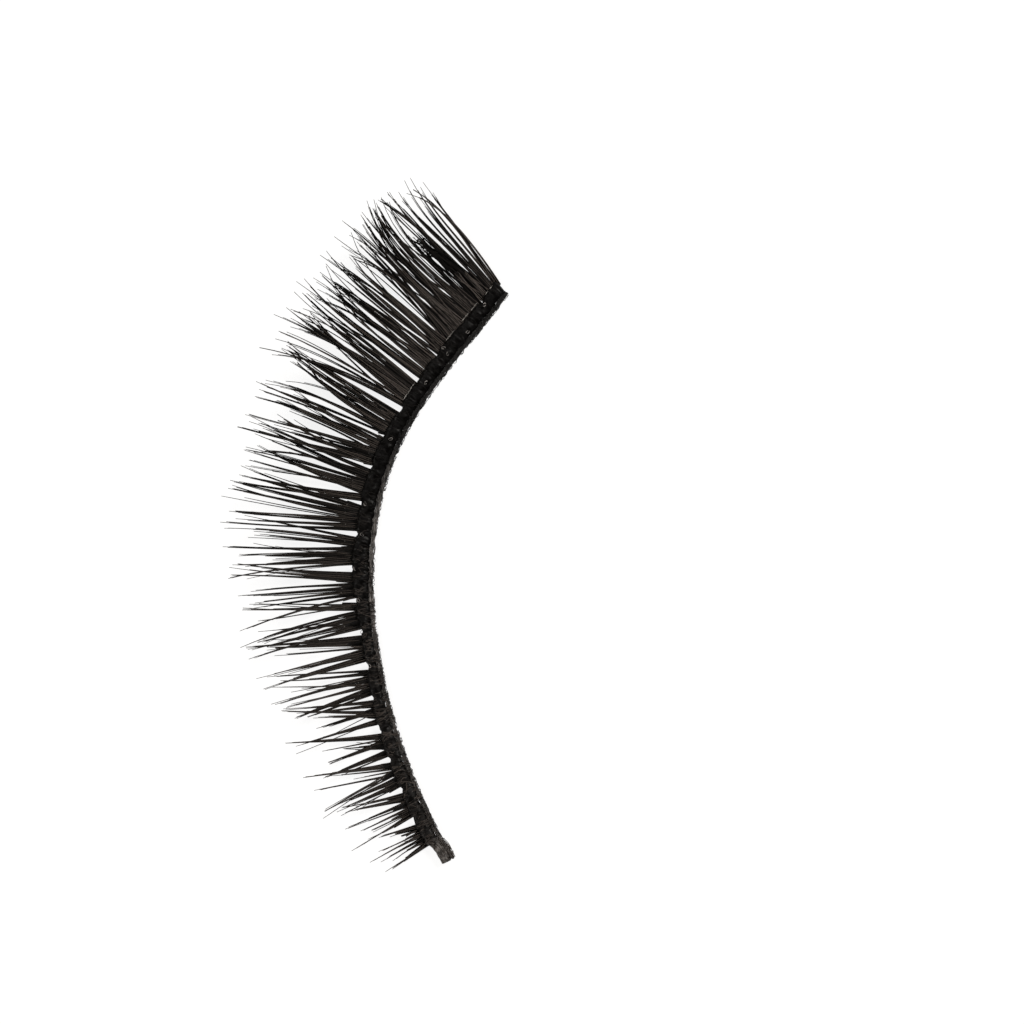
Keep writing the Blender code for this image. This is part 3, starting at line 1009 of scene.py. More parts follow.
@dataclass
class LashTufts:
    """The fibres of every tuft, lock by lock.

    Lengths are in millimetres, and the spans of locks in thousandths of the edge's length.
    """

    chart: StripChart
    tip_diameter: float = 0.026
    thick_spread: float = 0.12
    buried: float = 0.30
    overlap_outer: float = 1.75
    overlap_inner: float = 1.35
    overlap_eases: tuple[float, float] = (250.0, 450.0)
    widest: float = 11.0
    fine_half: float = 2.0
    fine_count: int = 3
    fewest: int = 5
    fill: float = 2.6
    layers: int = 5
    layer_step: float = 0.05
    layer_drop: float = 0.7
    lift_spread: float = 0.010
    lift_fan: float = 0.07
    jitter: float = 0.16
    closed_by: float = 0.45
    ragged: float = 0.35
    central_within: float = 0.6
    central_stray: float = 0.6
    central_shorter: float = 0.04
    stray_most: float = 2.0
    own_stray: float = 0.02
    flyaway: float = 0.05
    wildness: float = 12.0
    upper_share: float = 0.56
    # Painted highlight stripes on the upper fibres and painted shade on the others: pitch, noise, swing, least,
    # gain
    hatch: float = 0.125
    hatch_noise: float = 0.25
    ground_swing: float = 0.10
    pale_least: float = 0.12
    pale_gain: float = 0.95
    dense_from: float = 0.30
    dense_over: float = 0.35
    dense_sunk: float = 0.10
    dense_climb: float = 0.40
    sides: int = 4
    rings: int = 13
    seed: int = 21

    def nearest_tuft(self) -> np.ndarray:
        """For each lock, the place in KNOTS of the knot that it grows from."""
        return np.argmin(np.abs(column(LOCKS, "root")[:, None] - np.array(KNOTS)[None, :]), axis=1)

    def spans(self) -> tuple[np.ndarray, np.ndarray]:
        """Where along the edge each lock is rooted.

        A lock reaches a little over halfway to the locks beside it, and never into a gap. Fine locks lie over
        the others and take no room from them.

        Returns:
            Start and end of each lock's span, in thousandths of the edge's length.
        """
        root = column(LOCKS, "root")
        full = np.flatnonzero([lock.kind is not Kind.FINE for lock in LOCKS])
        between = 0.5 * (root[full][1:] + root[full][:-1])
        overlap = np.interp(between, self.overlap_eases, (self.overlap_outer, self.overlap_inner))
        step = np.minimum(np.diff(root[full]) / 2 * overlap, self.widest)
        low = root - self.fine_half
        high = root + self.fine_half
        low[full] = root[full] - np.concatenate([step[:1], step])
        high[full] = root[full] + np.concatenate([step, step[-1:]])
        for gap in GAPS:
            before = root < gap.at
            high = np.where(before, np.minimum(high, gap.at - gap.half), high)
            low = np.where(before, low, np.maximum(low, gap.at + gap.half))
        return low, np.maximum(high, low + 1.0)

    def paths(self, rows: np.ndarray, rng: np.random.Generator) -> tuple[np.ndarray, np.ndarray, np.ndarray]:
        """Paths of the fibres of some locks.

        Fibres start evenly across their lock's span, in layers by turns, and every few neighbours make a
        bunch. The lock's middle line runs from root to tip as t, with a bulge of 4 b t (1 - t) and a hook
        that grows with the fifth power of t. The bunches draw together on it as a power of 1 - t, and stray
        from it by random amounts of the same kinds, the middle one least. The fibres of a bunch close up
        along a smooth step of 3 q squared less 2 q cubed, some end before the bunch does, and a few fly away
        from it.

        Args:
            rows: places of the locks in LOCKS.
            rng: source of the random draw.

        Returns:
            The fibres' paths, their radii and the number that each has to itself.
        """
        picked = tuple(LOCKS[i] for i in rows)
        low, high = (self.chart.mm(side[rows]) for side in self.spans())
        sideways = ("root", "tip", "bow", "hook")
        root, tip, bow, hook = (self.chart.mm(column(picked, name)) for name in sideways)
        reach = column(picked, "reach") * self.chart.longest_lash / 100
        zone = {name: self.chart.along(ZONES, name, root) for name in Zone._fields}
        fullness = np.array([lock.kind.value for lock in picked])
        counts = np.rint((high - low) / zone["pitch"] * self.fill * fullness).astype(int)
        counts = np.where(fullness > 0.0, np.maximum(counts, self.fewest), self.fine_count)
        lock = np.repeat(np.arange(len(picked)), counts)
        total = len(lock)
        order = np.concatenate([np.arange(n) for n in counts])
        start = low[lock] + (high - low)[lock] * (order + 0.5) / counts[lock]
        start += rng.normal(0.0, self.jitter, total) * ((high - low) / counts)[lock]

        size = np.rint(zone["bunch"]).astype(int)
        bunches = -(-counts // size)
        place_in_lock = order // size[lock]
        bunch = (np.cumsum(bunches) - bunches)[lock] + place_in_lock
        gathered = (np.bincount(bunch, start) / np.bincount(bunch))[bunch]
        central = np.abs(place_in_lock - (bunches[lock] - 1) / 2) < self.central_within
        shorter = rng.uniform(0.0, 1.0, bunches.sum())[bunch]
        bunch_end = 1.0 - np.where(central, self.central_shorter, 1.0 - zone["shortest"][lock]) * shorter
        leads = order % size[lock] == np.minimum(counts[lock] - 1, size[lock] // 2)
        ending = bunch_end * np.where(leads, 1.0, 1.0 - self.ragged * rng.uniform(0.0, 1.0, total))
        stray = np.clip(rng.normal(0.0, 1.0, (3, bunches.sum())), -self.stray_most, self.stray_most)
        stray = stray[:, bunch] * np.where(central, self.central_stray, 1.0)
        kinds = ("scatter", "bow", "hook")
        scatter, bulge, curve = ((amount * zone[name][lock])[:, None] for amount, name in zip(stray, kinds))
        wild = np.where(rng.uniform(0.0, 1.0, total) < self.flyaway, self.wildness, 1.0)
        own = self.own_stray * rng.normal(0.0, 1.0, total) * wild

        t = np.linspace(0.0, 1.0, self.rings)[None, :] * ending[:, None]
        closed = np.clip(t / self.closed_by, 0.0, 1.0)
        closing = zone["closing"][lock, None] * closed**2 * (3.0 - 2.0 * closed)
        apart = (gathered - root[lock])[:, None] + (start - gathered)[:, None] * (1.0 - closing)
        s = root[lock, None] + (tip - root - hook)[lock, None] * t + hook[lock, None] * t**5
        s += 4.0 * (bow[lock, None] + bulge) * t * (1.0 - t)
        s += apart * (1.0 - t) ** zone["draw"][lock, None]
        s += (scatter + own[:, None]) * t + curve * t**5
        d = -self.buried + (reach[lock, None] + self.buried) * t

        layer = order % self.layers
        dense = fullness[lock] >= Kind.DENSE.value
        points = self.chart.sheet(s, d, self.lifts(t, layer, dense, rng))
        radii = self.radii(zone["thick"][lock], zone["taper"][lock], layer == 0, rng)
        # Upper fibres of locks that are not dense take the painted highlight stripes, the others the painted
        # shade
        shown = (layer == 0) & ~dense
        return points, radii, self.paleness(start, zone["pale"][lock], zone["ground"][lock], shown, rng)

    def lifts(
        self, t: np.ndarray, layer: np.ndarray, dense: np.ndarray, rng: np.random.Generator
    ) -> np.ndarray:
        """How far fibres lie off the curled sheet.

        The layers lie one under the other. Each fibre strays a little, and more as t. The fibres of a dense
        lock lie under the others at the root and rise over them on their way.

        Args:
            t: how far along its lock each point lies, by fibre and point.
            layer: number of each fibre's layer, from the top.
            dense: whether each fibre's lock is a dense one.
            rng: source of the random draw.

        Returns:
            The lift by fibre and point.
        """
        total = len(layer)
        lift = self.layer_step * (1.0 - self.layer_drop * layer) + rng.normal(0.0, self.lift_spread, total)
        lift = lift[:, None] + rng.normal(0.0, self.lift_fan, (total, 1)) * t
        risen = np.clip((t - self.dense_from) / self.dense_over, 0.0, 1.0)
        return lift + np.where(dense[:, None], self.dense_climb * risen - self.dense_sunk, 0.0)

    def radii(
        self, thick: np.ndarray, taper: np.ndarray, upper: np.ndarray, rng: np.random.Generator
    ) -> np.ndarray:
        """Radii of fibres, which thin from the root to the tip as a power of the share of their length.

        Args:
            thick: usual diameter of each fibre at its root.
            taper: the power.
            upper: whether each fibre is in the upper layer, where they are thinner.
            rng: source of the random draw.

        Returns:
            The radius by fibre and point.
        """
        thick = rng.uniform(1.0 - self.thick_spread, 1.0 + self.thick_spread, len(thick)) * thick
        thick = (thick * np.where(upper, self.upper_share, 1.0))[:, None]
        thinned = np.linspace(0.0, 1.0, self.rings)[None, :] ** taper[:, None]
        return 0.5 * (self.tip_diameter + (thick - self.tip_diameter) * (1.0 - thinned))

    def paleness(
        self,
        start: np.ndarray,
        pale: np.ndarray,
        ground: np.ndarray,
        shown: np.ndarray,
        rng: np.random.Generator,
    ) -> np.ndarray:
        """How light fibres are: stripes of painted highlight along the strip on the upper fibres, as a sine of
        where each starts, with noise, and painted shade on the others.

        Args:
            start: where each fibre starts, in millimetres along the edge.
            pale: how light the upper fibres are there, as painted highlight.
            ground: how light the others are, darkened as painted shade.
            shown: whether each fibre shows the painted highlight stripes fully.
            rng: source of the random draw.

        Returns:
            A number between 0 and 1 for each fibre.
        """
        varied = 0.5 + 0.5 * np.sin(math.tau * start / self.hatch)
        varied += rng.uniform(-self.hatch_noise, self.hatch_noise, len(start))
        highlighted = pale * np.clip(self.pale_least + self.pale_gain * varied, 0.0, 1.0)
        plain = ground + self.ground_swing * (varied - 0.5)
        return np.clip(np.where(shown, highlighted, plain), 0.0, 1.0)

    def build(self, material: bpy.types.Material) -> None:
        """Makes one piece of fibres for each packed tuft.

        Args:
            material: the finish of the fibres.
        """
        rng = np.random.default_rng(self.seed)
        tuft_of = self.nearest_tuft()
        for number in range(len(KNOTS)):
            batch = MeshBatch()
            points, radii, chance = self.paths(np.flatnonzero(tuft_of == number), rng)
            batch.add_tubes(points, radii, self.sides, chance)
            made = batch.make(f"lashes_{number + 1:02d}")
            place(made, material, Slot.FIBRE, f"lash_tuft_{number + 1:02d}")


@dataclass
class RootGlue:
    """Glue that has crept up the roots of the locks and holds them together there."""

    chart: StripChart
    tufts: LashTufts
    first: float = 0.27
    sunk: float = 0.20
    wider: float = 0.02
    end_half: float = 0.045
    narrowing: float = 0.8
    flat: float = 0.55
    lift_fan: float = 0.02
    sides: int = 8
    rings: int = 9
    seed: int = 8

    def build(self, material: bpy.types.Material) -> None:
        """Makes a tapering pad on each lock's root.

        A pad follows its lock's middle line. Its half width falls from that of the lock's span as a power of
        1 - t, and its length is charted along the strip.

        Args:
            material: the finish of the glue.
        """
        rng = np.random.default_rng(self.seed)
        low, high = (self.chart.mm(side) for side in self.tufts.spans())
        root, tip = (self.chart.mm(column(LOCKS, name)) for name in ("root", "tip"))
        reach = column(LOCKS, "reach") * self.chart.longest_lash / 100
        full = np.array([lock.kind is not Kind.FINE for lock in LOCKS])
        used = np.flatnonzero((root > self.first * self.chart.edge_length) & full)
        low, high, root, tip, reach = (values[used][:, None] for values in (low, high, root, tip, reach))
        length = self.chart.along(CREEP, "length", root) * rng.uniform(0.7, 1.2, root.shape)
        t = np.linspace(0.0, 1.0, self.rings)[None, :]
        d = -self.sunk + (length + self.sunk) * t
        middle = 0.5 * (low + high)
        s = middle + (root - middle) * t + (tip - root) * np.clip(d, 0.0, None) / reach
        start_half = 0.5 * (high - low) + self.wider
        half = self.end_half + (start_half - self.end_half) * (1.0 - t) ** self.narrowing
        points = self.chart.sheet(s, d, rng.normal(0.0, self.lift_fan, length.shape) * t)
        batch = MeshBatch()
        batch.add_tubes(points, half, self.sides, rng.uniform(0.0, 1.0, len(used)), self.flat)
        place(batch.make("root_glue"), material, Slot.GLUE)


@dataclass
class GlueBand:
    """The dried glue: a low strip, rounded towards the thread and lumpy over the knots."""

    chart: StripChart
    near: float = 0.20
    crown_sunk: float = 0.03
    knot_swell: float = 0.05
    knot_reach: float = 0.22
    web: float = 0.11
    web_fade: float = 0.3
    gap_reach: float = 0.24
    side_wave: Wave = Wave(0.018, 0.35, 11)
    lumps: Wave = Wave(0.016, 0.45, 4)
    pores: Wave = Wave(0.006, 0.13, 5)
    lumps_from: float = 0.12
    lumps_over: float = 0.20
    ridge: float = 0.010
    ridge_pitch: float = 0.30
    ridge_slant: float = 0.55
    ridge_bend: Wave = Wave(2.0, 1.2, 6)
    ridge_patches: Wave = Wave(1.0, 1.6, 7)
    end_round: float = 0.05
    end_narrow: float = 0.14
    outer_slant: float = 0.12
    outer_fade: float = 0.4
    inner_slant: float = 0.08
    inner_fade: float = 0.2
    stations: int = 1100
    sides: int = 28

    def bells(self, s: np.ndarray, places: Sequence[float], reach: float) -> np.ndarray:
        """Sum of bell curves at places in thousandths of the edge, each as wide as reach."""
        return np.exp(-(((s[..., None] - self.chart.mm(np.array(places))) / reach) ** 2)).sum(axis=-1)

    def crown(self, s: np.ndarray) -> np.ndarray:
        """Height of the middle over half the band's height, greatest at a knot."""
        swell = self.knot_swell * (self.bells(s, KNOTS, self.knot_reach) - 0.5)
        return self.chart.band_height / 2 - self.crown_sunk + swell

    def far(self, s: np.ndarray) -> np.ndarray:
        """Distance of the lash side from the edge.

        It runs evenly from gap to gap at the depth that each has, and between them it bulges out over the
        roots.

        Args:
            s: places along the edge.

        Returns:
            The distance for each.
        """
        gaps = column(GAPS, "at")
        places = self.chart.mm(gaps)
        base = np.interp(s, places, column(GAPS, "bottom") / 100)
        rooted = 1.0 - np.clip((s - places[-1]) / self.web_fade, 0.0, 1.0)
        open_gap = np.clip(self.bells(s, gaps, self.gap_reach), 0.0, 1.0)
        along_edge = np.stack([s, s * 0.0, s * 0.0], axis=-1)
        return base + (self.web * (1.0 - open_gap) + ripple(along_edge, self.side_wave)) * rooted

    def top(self, s: np.ndarray, r: np.ndarray) -> np.ndarray:
        """Height of the glue's upper side over the chart.

        The section is an ellipse towards the thread and a squarer curve, of the fourth power, towards the
        lashes.

        Args:
            s: places along the edge.
            r: distances from the edge.

        Returns:
            The height for each.
        """
        far = self.far(s)
        middle = 0.5 * (self.near + far)
        across = (r - middle) / (far - middle)
        power = np.where(across < 0.0, 2.0, 4.0)
        bulge = np.clip(1.0 - np.abs(across) ** power, 0.0, 1.0) ** (1.0 / power)
        return self.chart.band_height / 2 + self.crown(s) * bulge

    def surface(self) -> tuple[np.ndarray, np.ndarray]:
        """Rings of the glue, and the poles that close its two ends.

        Around a ring the angle runs from the lash side over the top. The radius across and the height follow
        the same powers as top does, the underside is flat, and smooth random lumps and slanting ridges are
        added square to the section above the underside. Both ends narrow as a quarter of a circle, and slant.

        Returns:
            The rings and the poles.
        """
        chart = self.chart
        s = np.linspace(0.0, chart.edge_length, self.stations)[:, None]
        angle = math.tau * np.arange(self.sides) / self.sides
        cosine = np.cos(angle)[None, :]
        sine = np.sin(angle)[None, :]
        power = np.where(cosine < 0.0, 1.0, 0.5)
        from_end = np.minimum(s, chart.edge_length - s)
        quarter = np.sqrt(np.clip(1.0 - (1.0 - from_end / self.end_round) ** 2, 0.0, 1.0))
        narrowed = 1.0 - self.end_narrow + self.end_narrow * quarter
        closing = np.where(from_end < self.end_round, narrowed, 1.0)
        far = self.far(s)
        middle = 0.5 * (self.near + far)
        r = middle + (far - middle) * closing * np.sign(cosine) * np.abs(cosine) ** power
        half = chart.band_height / 2
        rise = np.where(sine > 0.0, self.crown(s), half) * closing
        z = half + rise * np.sign(sine) * np.abs(sine) ** power
        here = np.stack(np.broadcast_arrays(s, r, z), axis=-1)
        turns = (s + self.ridge_slant * r) / self.ridge_pitch
        ridges = np.sin(math.tau * turns + ripple(here, self.ridge_bend))
        relief = ripple(here, self.lumps) + ripple(here, self.pores)
        relief = relief + self.ridge * ridges * np.clip(ripple(here, self.ridge_patches), 0.0, 1.0)
        relief = relief * np.clip((z - self.lumps_from) / self.lumps_over, 0.0, 1.0)
        r = r + relief * cosine
        z = z + relief * np.maximum(sine, 0.0)
        across = np.clip(r / chart.band_width, 0.0, 1.0)
        along = s - self.outer_slant * across * np.exp(-s / self.outer_fade)
        along = along + self.inner_slant * (1.0 - across) * np.exp((s - chart.edge_length) / self.inner_fade)
        rings = chart.solid(along, r, z)
        ends = chart.solid(along[[0, -1], 0], middle[[0, -1], 0], np.full(2, half))
        return rings[:, ::-1], ends

    def build(self, material: bpy.types.Material) -> None:
        """Makes the glue.

        Args:
            material: its finish.
        """
        rings, ends = self.surface()
        batch = MeshBatch()
        batch.add_rings(rings[None], ends[None], np.array([0.5]))
        place(batch.make("glue_band"), material, Slot.GLUE, "band")


@dataclass
class SpunThread:
    """The thread along the eye side: plies of wound filaments round a core, and fuzz."""

    chart: StripChart
    core_diameter: float = 0.15
    core_stations: int = 420
    core_sides: int = 12
    core_tone: float = 0.1
    past_outer: float = 0.02
    past_inner: float = 0.03
    plies: int = 3
    ply_offset: float = 0.068
    ply_radius: float = 0.064
    ply_lay: float = 6.4
    ply_wander: float = 0.5
    ply_wander_length: float = 1.7
    filaments: int = 15
    filament_diameter: float = 0.036
    filament_lay: float = 2.6
    filament_sides: int = 5
    breath: float = 0.012
    stations: int = 190
    fuzz: int = 700
    fuzz_root: float = 0.036
    fuzz_tip: float = 0.022
    fuzz_rings: int = 7
    fuzz_sides: int = 4
    end_clear: float = 0.1
    seed: int = 33

    def around(self, s: np.ndarray, aside: np.ndarray, over: np.ndarray) -> np.ndarray:
        """Point at s, moved aside and up from the thread's middle line."""
        return self.chart.solid(s, self.chart.thread_middle + aside, self.chart.band_height / 2 + over)

    def build(self, material: bpy.types.Material) -> None:
        """Makes the thread and its fuzz.

        A ply is a helix round the thread's middle line, and a filament a quicker helix round its ply. Both
        turn evenly with s, with a slow wander, and a filament's distance from its ply's middle breathes.

        Args:
            material: the finish of both.
        """
        rng = np.random.default_rng(self.seed)
        length = self.chart.edge_length
        s = np.linspace(-self.past_outer, length + self.past_inner, self.core_stations)
        core = self.around(s, s * 0.0, s * 0.0)[None]
        core_radii = np.full((1, self.core_stations), self.core_diameter / 2)
        batch = MeshBatch()
        batch.add_tubes(core, core_radii, self.core_sides, np.array([self.core_tone]))
        count = self.plies * self.filaments
        each = (count, 1)
        ends = rng.uniform(-0.01, 0.03, (2, *each))
        t = np.linspace(0.0, 1.0, self.stations)[None, :]
        along = -self.past_outer - ends[0] + (length + ends[0] + ends[1]) * t
        ply = np.repeat(np.arange(self.plies), self.filaments)[:, None]
        turn = math.tau * (ply / self.plies + along / self.ply_lay)
        turn += self.ply_wander * np.sin(along / self.ply_wander_length)
        own = math.tau * (rng.uniform(0.0, 1.0, each) + along / self.filament_lay)
        own += rng.normal(0.0, 0.5, each) * np.sin(along / rng.uniform(0.5, 1.6, each))
        breath = self.breath * np.sin(along / rng.uniform(0.2, 0.6, each) + rng.uniform(0.0, 6.0, each))
        offset = self.ply_radius * np.sqrt(rng.uniform(0.25, 1.0, each)) + breath
        aside = self.ply_offset * np.cos(turn) + offset * np.cos(own)
        over = self.ply_offset * np.sin(turn) + offset * np.sin(own)
        radii = np.full((count, self.stations), self.filament_diameter / 2) * rng.uniform(0.7, 1.2, each)
        points = self.around(along, aside, over)
        batch.add_tubes(points, radii, self.filament_sides, rng.uniform(0.0, 1.0, count))
        place(batch.make("thread_strands"), material, Slot.THREAD, "edge_thread")
        self.build_fuzz(material, rng)

    def build_fuzz(self, material: bpy.types.Material, rng: np.random.Generator) -> None:
        """Makes the stray fibres of the thread, short arcs that leave its surface and turn back along it.

        Args:
            material: their finish.
            rng: source of the random draw.
        """
        count, length = self.fuzz, self.chart.edge_length
        each = (count, 1)
        t = np.linspace(0.0, 1.0, self.fuzz_rings)[None, :]
        s = rng.uniform(self.end_clear, length - self.end_clear, each)
        run = rng.uniform(0.10, 0.36, each) * rng.choice([-1.0, 1.0], each)
        angle = rng.uniform(0.15, 1.25, each) * math.pi + rng.normal(0.0, 0.5, each) * t
        rise = rng.uniform(0.015, 0.075, each) * np.sin(math.pi * t * rng.uniform(0.6, 1.0, each))
        radius = self.ply_offset + self.ply_radius + rise
        along = np.clip(s + run * t, self.past_outer * t, length - self.past_outer * t)
        points = self.around(along, radius * np.cos(angle), radius * np.sin(angle))
        radii = 0.5 * (self.fuzz_root + (self.fuzz_tip - self.fuzz_root) * t) * np.ones(each)
        batch = MeshBatch()
        batch.add_tubes(points, radii, self.fuzz_sides, rng.uniform(0.1, 0.7, count), held=s[:, 0] / length)
        place(batch.make("thread_fuzz"), material, Slot.THREAD)

@dataclass
class RootWraps:
    """Fibre ends that wrap over the glue and the thread, from the knots."""

    chart: StripChart
    glue: GlueBand
    diameter: float = 0.048
    end_share: float = 0.6
    per_knot_outer: int = 3
    per_knot_inner: int = 12
    grow_over: tuple[float, float] = (0.3, 0.6)
    scatter: float = 0.26
    lean: float = 0.24
    wave: float = 0.05
    clear_outer: float = 0.05
    clear_inner: float = 0.1
    start_inside: float = 0.02
    inner_half: float = 0.5
    round_inner: float = 0.6
    round_outer: float = 0.1
    round_end: float = -0.08
    paler_from: float = 0.4
    paler_over: float = 0.2
    thread_clear: float = 0.18
    sunk: float = 0.008
    rings: int = 16
    sides: int = 4
    stub_from: float = 0.958
    stub_strands: int = 16
    stub_diameter: float = 0.036
    stub_near: float = -0.10
    stub_past: float = 0.06
    stub_wander: float = 0.03
    stub_rings: int = 14
    seed: int = 57

    def height(self, s: np.ndarray, r: np.ndarray) -> np.ndarray:
        """Height of the glue or of the thread, whichever is higher.

        Args:
            s: places along the edge.
            r: distances from the edge.

        Returns:
            The height for each.
        """
        aside = r - self.chart.thread_middle
        over = np.sqrt(np.clip(self.thread_clear**2 - aside**2, 0.0, None))
        over_thread = np.where(np.abs(aside) < self.thread_clear, self.chart.band_height / 2 + over, 0.0)
        return np.maximum(self.glue.top(s, r), over_thread)

    def build(self, material: bpy.types.Material) -> None:
        """Makes the wraps.

        A wrap runs from the lash side to the eye side with a sideways lean and a slow wave, on what lies
        there. It ends on the glue or goes round the thread, and is thickest halfway.

        Args:
            material: their finish.
        """
        rng = np.random.default_rng(self.seed)
        length = self.chart.edge_length
        share = np.array(KNOTS) / 1000
        counts = np.interp(share, self.grow_over, (self.per_knot_outer, self.per_knot_inner))
        knot = np.repeat(share * length, np.rint(counts).astype(int))[:, None]
        total = len(knot)
        each = (total, 1)
        t = np.linspace(0.0, 1.0, self.rings)[None, :]
        waves, phase = rng.uniform(0.7, 1.6, each), rng.uniform(0.0, 1.0, each)
        s = knot + rng.normal(0.0, self.scatter, each) + rng.normal(0.0, self.lean, each) * t
        s = s + self.wave * np.sin(math.tau * (t * waves + phase))
        s = np.clip(s, self.clear_outer, length - self.clear_inner)
        start = self.glue.far(s) - self.start_inside
        round_share = np.where(knot > self.inner_half * length, self.round_inner, self.round_outer)
        goes_round = rng.uniform(0.0, 1.0, each) < round_share
        finish = np.where(goes_round, self.round_end, rng.uniform(0.2, 0.5, each))
        r = start + (finish - start) * t
        swelling = self.end_share + (1.0 - self.end_share) * np.sin(math.pi * t)
        radii = np.broadcast_to(0.5 * self.diameter * swelling, (total, self.rings))
        paler = np.clip((knot[:, 0] / length - self.paler_from) / self.paler_over, 0.0, 1.0)
        chance = rng.uniform(0.0, 0.1, total) + paler * rng.uniform(0.0, 0.8, total)
        batch = MeshBatch()
        batch.add_tubes(self.chart.solid(s, r, self.height(s, r) - self.sunk), radii, self.sides, chance)
        self.add_stub_strands(batch, rng)
        place(batch.make("root_wraps"), material, Slot.FIBRE)

    def add_stub_strands(self, batch: MeshBatch, rng: np.random.Generator) -> None:
        """Adds the strands that run lengthwise over the bare stub, side by side with a slow wander.

        Args:
            batch: the mesh to add to.
            rng: source of the random draw.
        """
        count = self.stub_strands
        each = (count, 1)
        t = np.linspace(0.0, 1.0, self.stub_rings)[None, :]
        start = self.stub_from + rng.uniform(0.0, 0.015, each)
        s = self.chart.edge_length * (start + (1.0 - start) * t)
        across = (np.arange(count)[:, None] + rng.uniform(0.2, 0.8, each)) / count
        wander = self.stub_wander * np.sin(5.0 * t + rng.uniform(0.0, 6.0, each))
        r = self.stub_near + (self.glue.far(s) + self.stub_past) * across + wander
        radii = np.full((count, self.stub_rings), self.stub_diameter / 2)
        points = self.chart.solid(s, r, self.height(s, r) - self.sunk)
        batch.add_tubes(points, radii, self.sides, rng.uniform(0.1, 0.95, count))


@dataclass
class KnotLoops:
    """Small loops of thread that show at some knots, made light as painted glints."""

    chart: StripChart
    wraps: RootWraps
    diameter: float = 0.032
    long: float = 0.10
    wide: float = 0.06
    round_share: float = 0.84
    most_lean: float = 0.9
    clear: float = 0.02
    tilt: float = 0.03
    # Place along the thread's greys that the loops take, among the lightest, as a painted glint
    tone: float = 0.5
    rings: int = 12
    sides: int = 6
    seed: int = 71

    def build(self, material: bpy.types.Material) -> None:
        """Makes the loops: arcs of five sixths of an ellipse, tilted up to a third of their length.

        Args:
            material: the finish of the thread.
        """
        rng = np.random.default_rng(self.seed)
        count = len(LOOPS)
        start = rng.uniform(0.0, 6.0, (count, 1))
        angle = math.tau * np.linspace(0.0, self.round_share, self.rings)[None, :] + start
        lean = rng.uniform(-self.most_lean, self.most_lean, (count, 1))
        forth, aside = self.long * np.cos(angle), self.wide * np.sin(angle)
        s = self.chart.mm(column(LOOPS, "at"))[:, None] + forth * np.cos(lean) - aside * np.sin(lean)
        r = column(LOOPS, "out")[:, None] / 100 + forth * np.sin(lean) + aside * np.cos(lean)
        z = self.wraps.height(s, r) + self.clear + self.tilt * np.sin(angle)
        radii = np.full((count, self.rings), self.diameter / 2)
        # A high number makes every loop lighter still, as painted glints
        chance = rng.uniform(0.7, 1.0, count)
        batch = MeshBatch()
        batch.add_tubes(self.chart.solid(s, r, z), radii, self.sides, chance, held=np.full(count, self.tone))
        place(batch.make("knot_loops"), material, Slot.THREAD)


@dataclass
class GlueLips:
    """Thin lips of glue where fibres come out from under the band, light grey as a painted highlight on its
    edge.
    """

    chart: StripChart
    diameter: float = 0.050
    plain: float = 0.75
    beads: Wave = Wave(0.25, 0.3, 19)
    wander: Wave = Wave(0.012, 0.5, 17)
    end_share: float = 0.04
    end_power: float = 0.3
    thinnest: float = 0.004
    thickest: float = 0.03
    lift: float = 0.150
    rings: int = 18
    sides: int = 6
    seed: int = 91

    def build(self, material: bpy.types.Material) -> None:
        """Makes the lips, straight thin tubes that lie on the upper fibres.

        A lip's radius beads along it and falls towards its ends as a power of half a sine.

        Args:
            material: the finish of the lips.
        """
        rng = np.random.default_rng(self.seed)
        start, end, out = (column(LIPS, name)[:, None] for name in Lip._fields)
        t = np.linspace(0.0, 1.0, self.rings)[None, :]
        s = self.chart.mm(start + (end - start) * t)
        here = np.stack([s, start * t, s * 0.0], axis=-1)
        d = out / 100 + ripple(here, self.wander) - self.chart.width(s)
        ends = np.sin(math.pi * (self.end_share + (1.0 - 2.0 * self.end_share) * t)) ** self.end_power
        radii = 0.5 * self.diameter * (self.plain + ripple(here, self.beads)) * ends
        radii = np.clip(radii, self.thinnest, self.thickest)
        batch = MeshBatch()
        points = self.chart.sheet(s, d, np.full(s.shape, self.lift))
        batch.add_tubes(points, radii, self.sides, rng.uniform(0.0, 1.0, len(LIPS)))
        place(batch.make("glue_lips"), material, Slot.GLUE)


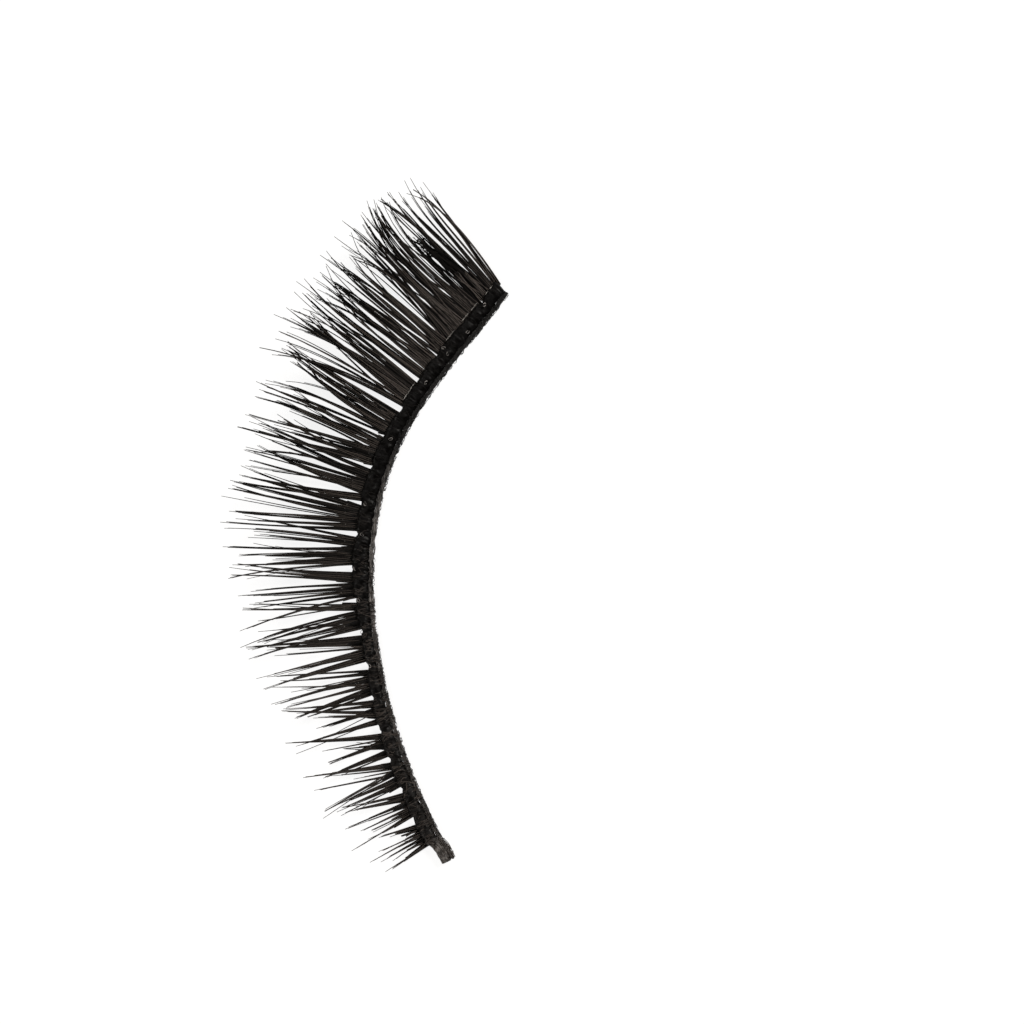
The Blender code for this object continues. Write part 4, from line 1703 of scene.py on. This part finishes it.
@dataclass
class Studio:
    """A white table under soft light, seen from straight above as in the photograph."""

    frame_pixels: int = 1024
    pixel: float = 0.053
    origin_pixel: tuple[float, float] = (359.0, 522.4)
    turn: float = 95.4
    distance: float = 800.0
    nearest: float = 10.0
    farthest: float = 10000.0
    sensor: float = 36.0
    floor_size: float = 1600.0
    floor_thickness: float = 2.0
    lamp_tint: tuple[float, float, float] = (1.0, 0.955, 0.91)
    room: float = 0.05
    backdrop: float = 0.97

    def build_camera(self) -> None:
        """Puts the camera over the frame's middle, turned so that the strip lies as in the photograph."""
        turn = math.radians(self.turn)
        right = np.array([math.cos(turn), math.sin(turn)])
        up = np.array([-math.sin(turn), math.cos(turn)])
        half = self.frame_pixels / 2
        middle = self.pixel * ((half - self.origin_pixel[0]) * right + (self.origin_pixel[1] - half) * up)
        data = bpy.data.cameras.new("photo_camera")
        data.sensor_width = self.sensor
        data.lens = self.sensor * self.distance / (self.frame_pixels * self.pixel)
        data.clip_start = self.nearest * MM
        data.clip_end = self.farthest * MM
        camera = bpy.data.objects.new("photo_camera", data)
        camera.location = (middle[0] * MM, middle[1] * MM, self.distance * MM)
        camera.rotation_euler = (0.0, 0.0, turn)
        bpy.context.scene.collection.objects.link(camera)
        bpy.context.scene.camera = camera

    def build_floor(self, material: bpy.types.Material) -> None:
        """Makes the table top, a thin slab whose upper side is at height zero.

        Args:
            material: its finish.
        """
        half = self.floor_size / 2
        x = np.array([-half, half, half, -half])
        y = np.array([-half, -half, half, half])
        top = np.stack([x, y, np.zeros(4)], axis=-1) * MM
        bottom = top - np.array([0.0, 0.0, self.floor_thickness * MM])
        faces = [(0, 1, 2, 3), (7, 6, 5, 4), (0, 4, 5, 1), (1, 5, 6, 2), (2, 6, 7, 3), (3, 7, 4, 0)]
        mesh = bpy.data.meshes.new("white_table")
        mesh.from_pydata(np.concatenate([top, bottom]).tolist(), [], faces)
        mesh.materials.append(material)
        floor = bpy.data.objects.new("white_table", mesh)
        bpy.context.scene.collection.objects.link(floor)

    def build_lights(self) -> None:
        """Hangs the soft boxes and sets the surroundings: dim for the light, white for the eye."""
        for lamp in LAMPS:
            data = bpy.data.lights.new(lamp.name, "AREA")
            data.shape = "SQUARE"
            data.size = lamp.size
            data.energy = lamp.power
            data.color = self.lamp_tint
            turn, rise = math.radians(lamp.turn), math.radians(lamp.rise)
            flat = lamp.distance * math.cos(rise)
            box = bpy.data.objects.new(lamp.name, data)
            box.location = (flat * math.cos(turn), flat * math.sin(turn), lamp.distance * math.sin(rise))
            box.rotation_euler = (math.pi / 2 - rise, 0.0, turn + math.pi / 2)
            box.visible_camera = False
            bpy.context.scene.collection.objects.link(box)
        world = bpy.data.worlds.new("white_room")
        world.use_nodes = True
        graph = Graph(world.node_tree)
        seen = graph.add("ShaderNodeLightPath")["Is Camera Ray"]
        dim = (self.room, self.room, self.room, 1.0)
        white = (self.backdrop, self.backdrop, self.backdrop, 1.0)
        graph.feed(world.node_tree.nodes["Background"], Strength=1.0, Color=graph.mix(seen, dim, white))
        bpy.context.scene.world = world
        bpy.context.scene.view_settings.view_transform = "Standard"


def main() -> None:
    """Builds the strip's looks and the studio."""
    logging.basicConfig(level=logging.INFO, format="%(message)s")
    groups = Groups()
    chart = StripChart()
    fibre = FibreFinish().make(groups)
    thread = ThreadFinish().make(groups)
    glue_finish = GlueFinish().make(groups)
    glue = GlueBand(chart)
    glue.build(glue_finish)
    SpunThread(chart).build(thread)
    wraps = RootWraps(chart, glue)
    wraps.build(fibre)
    KnotLoops(chart, wraps).build(thread)
    tufts = LashTufts(chart)
    tufts.build(fibre)
    RootGlue(chart, tufts).build(glue_finish)
    GlueLips(chart).build(LipFinish().make(groups))
    studio = Studio()
    studio.build_floor(FloorFinish().make(groups))
    studio.build_lights()
    studio.build_camera()


if __name__ == "__main__":
    main()
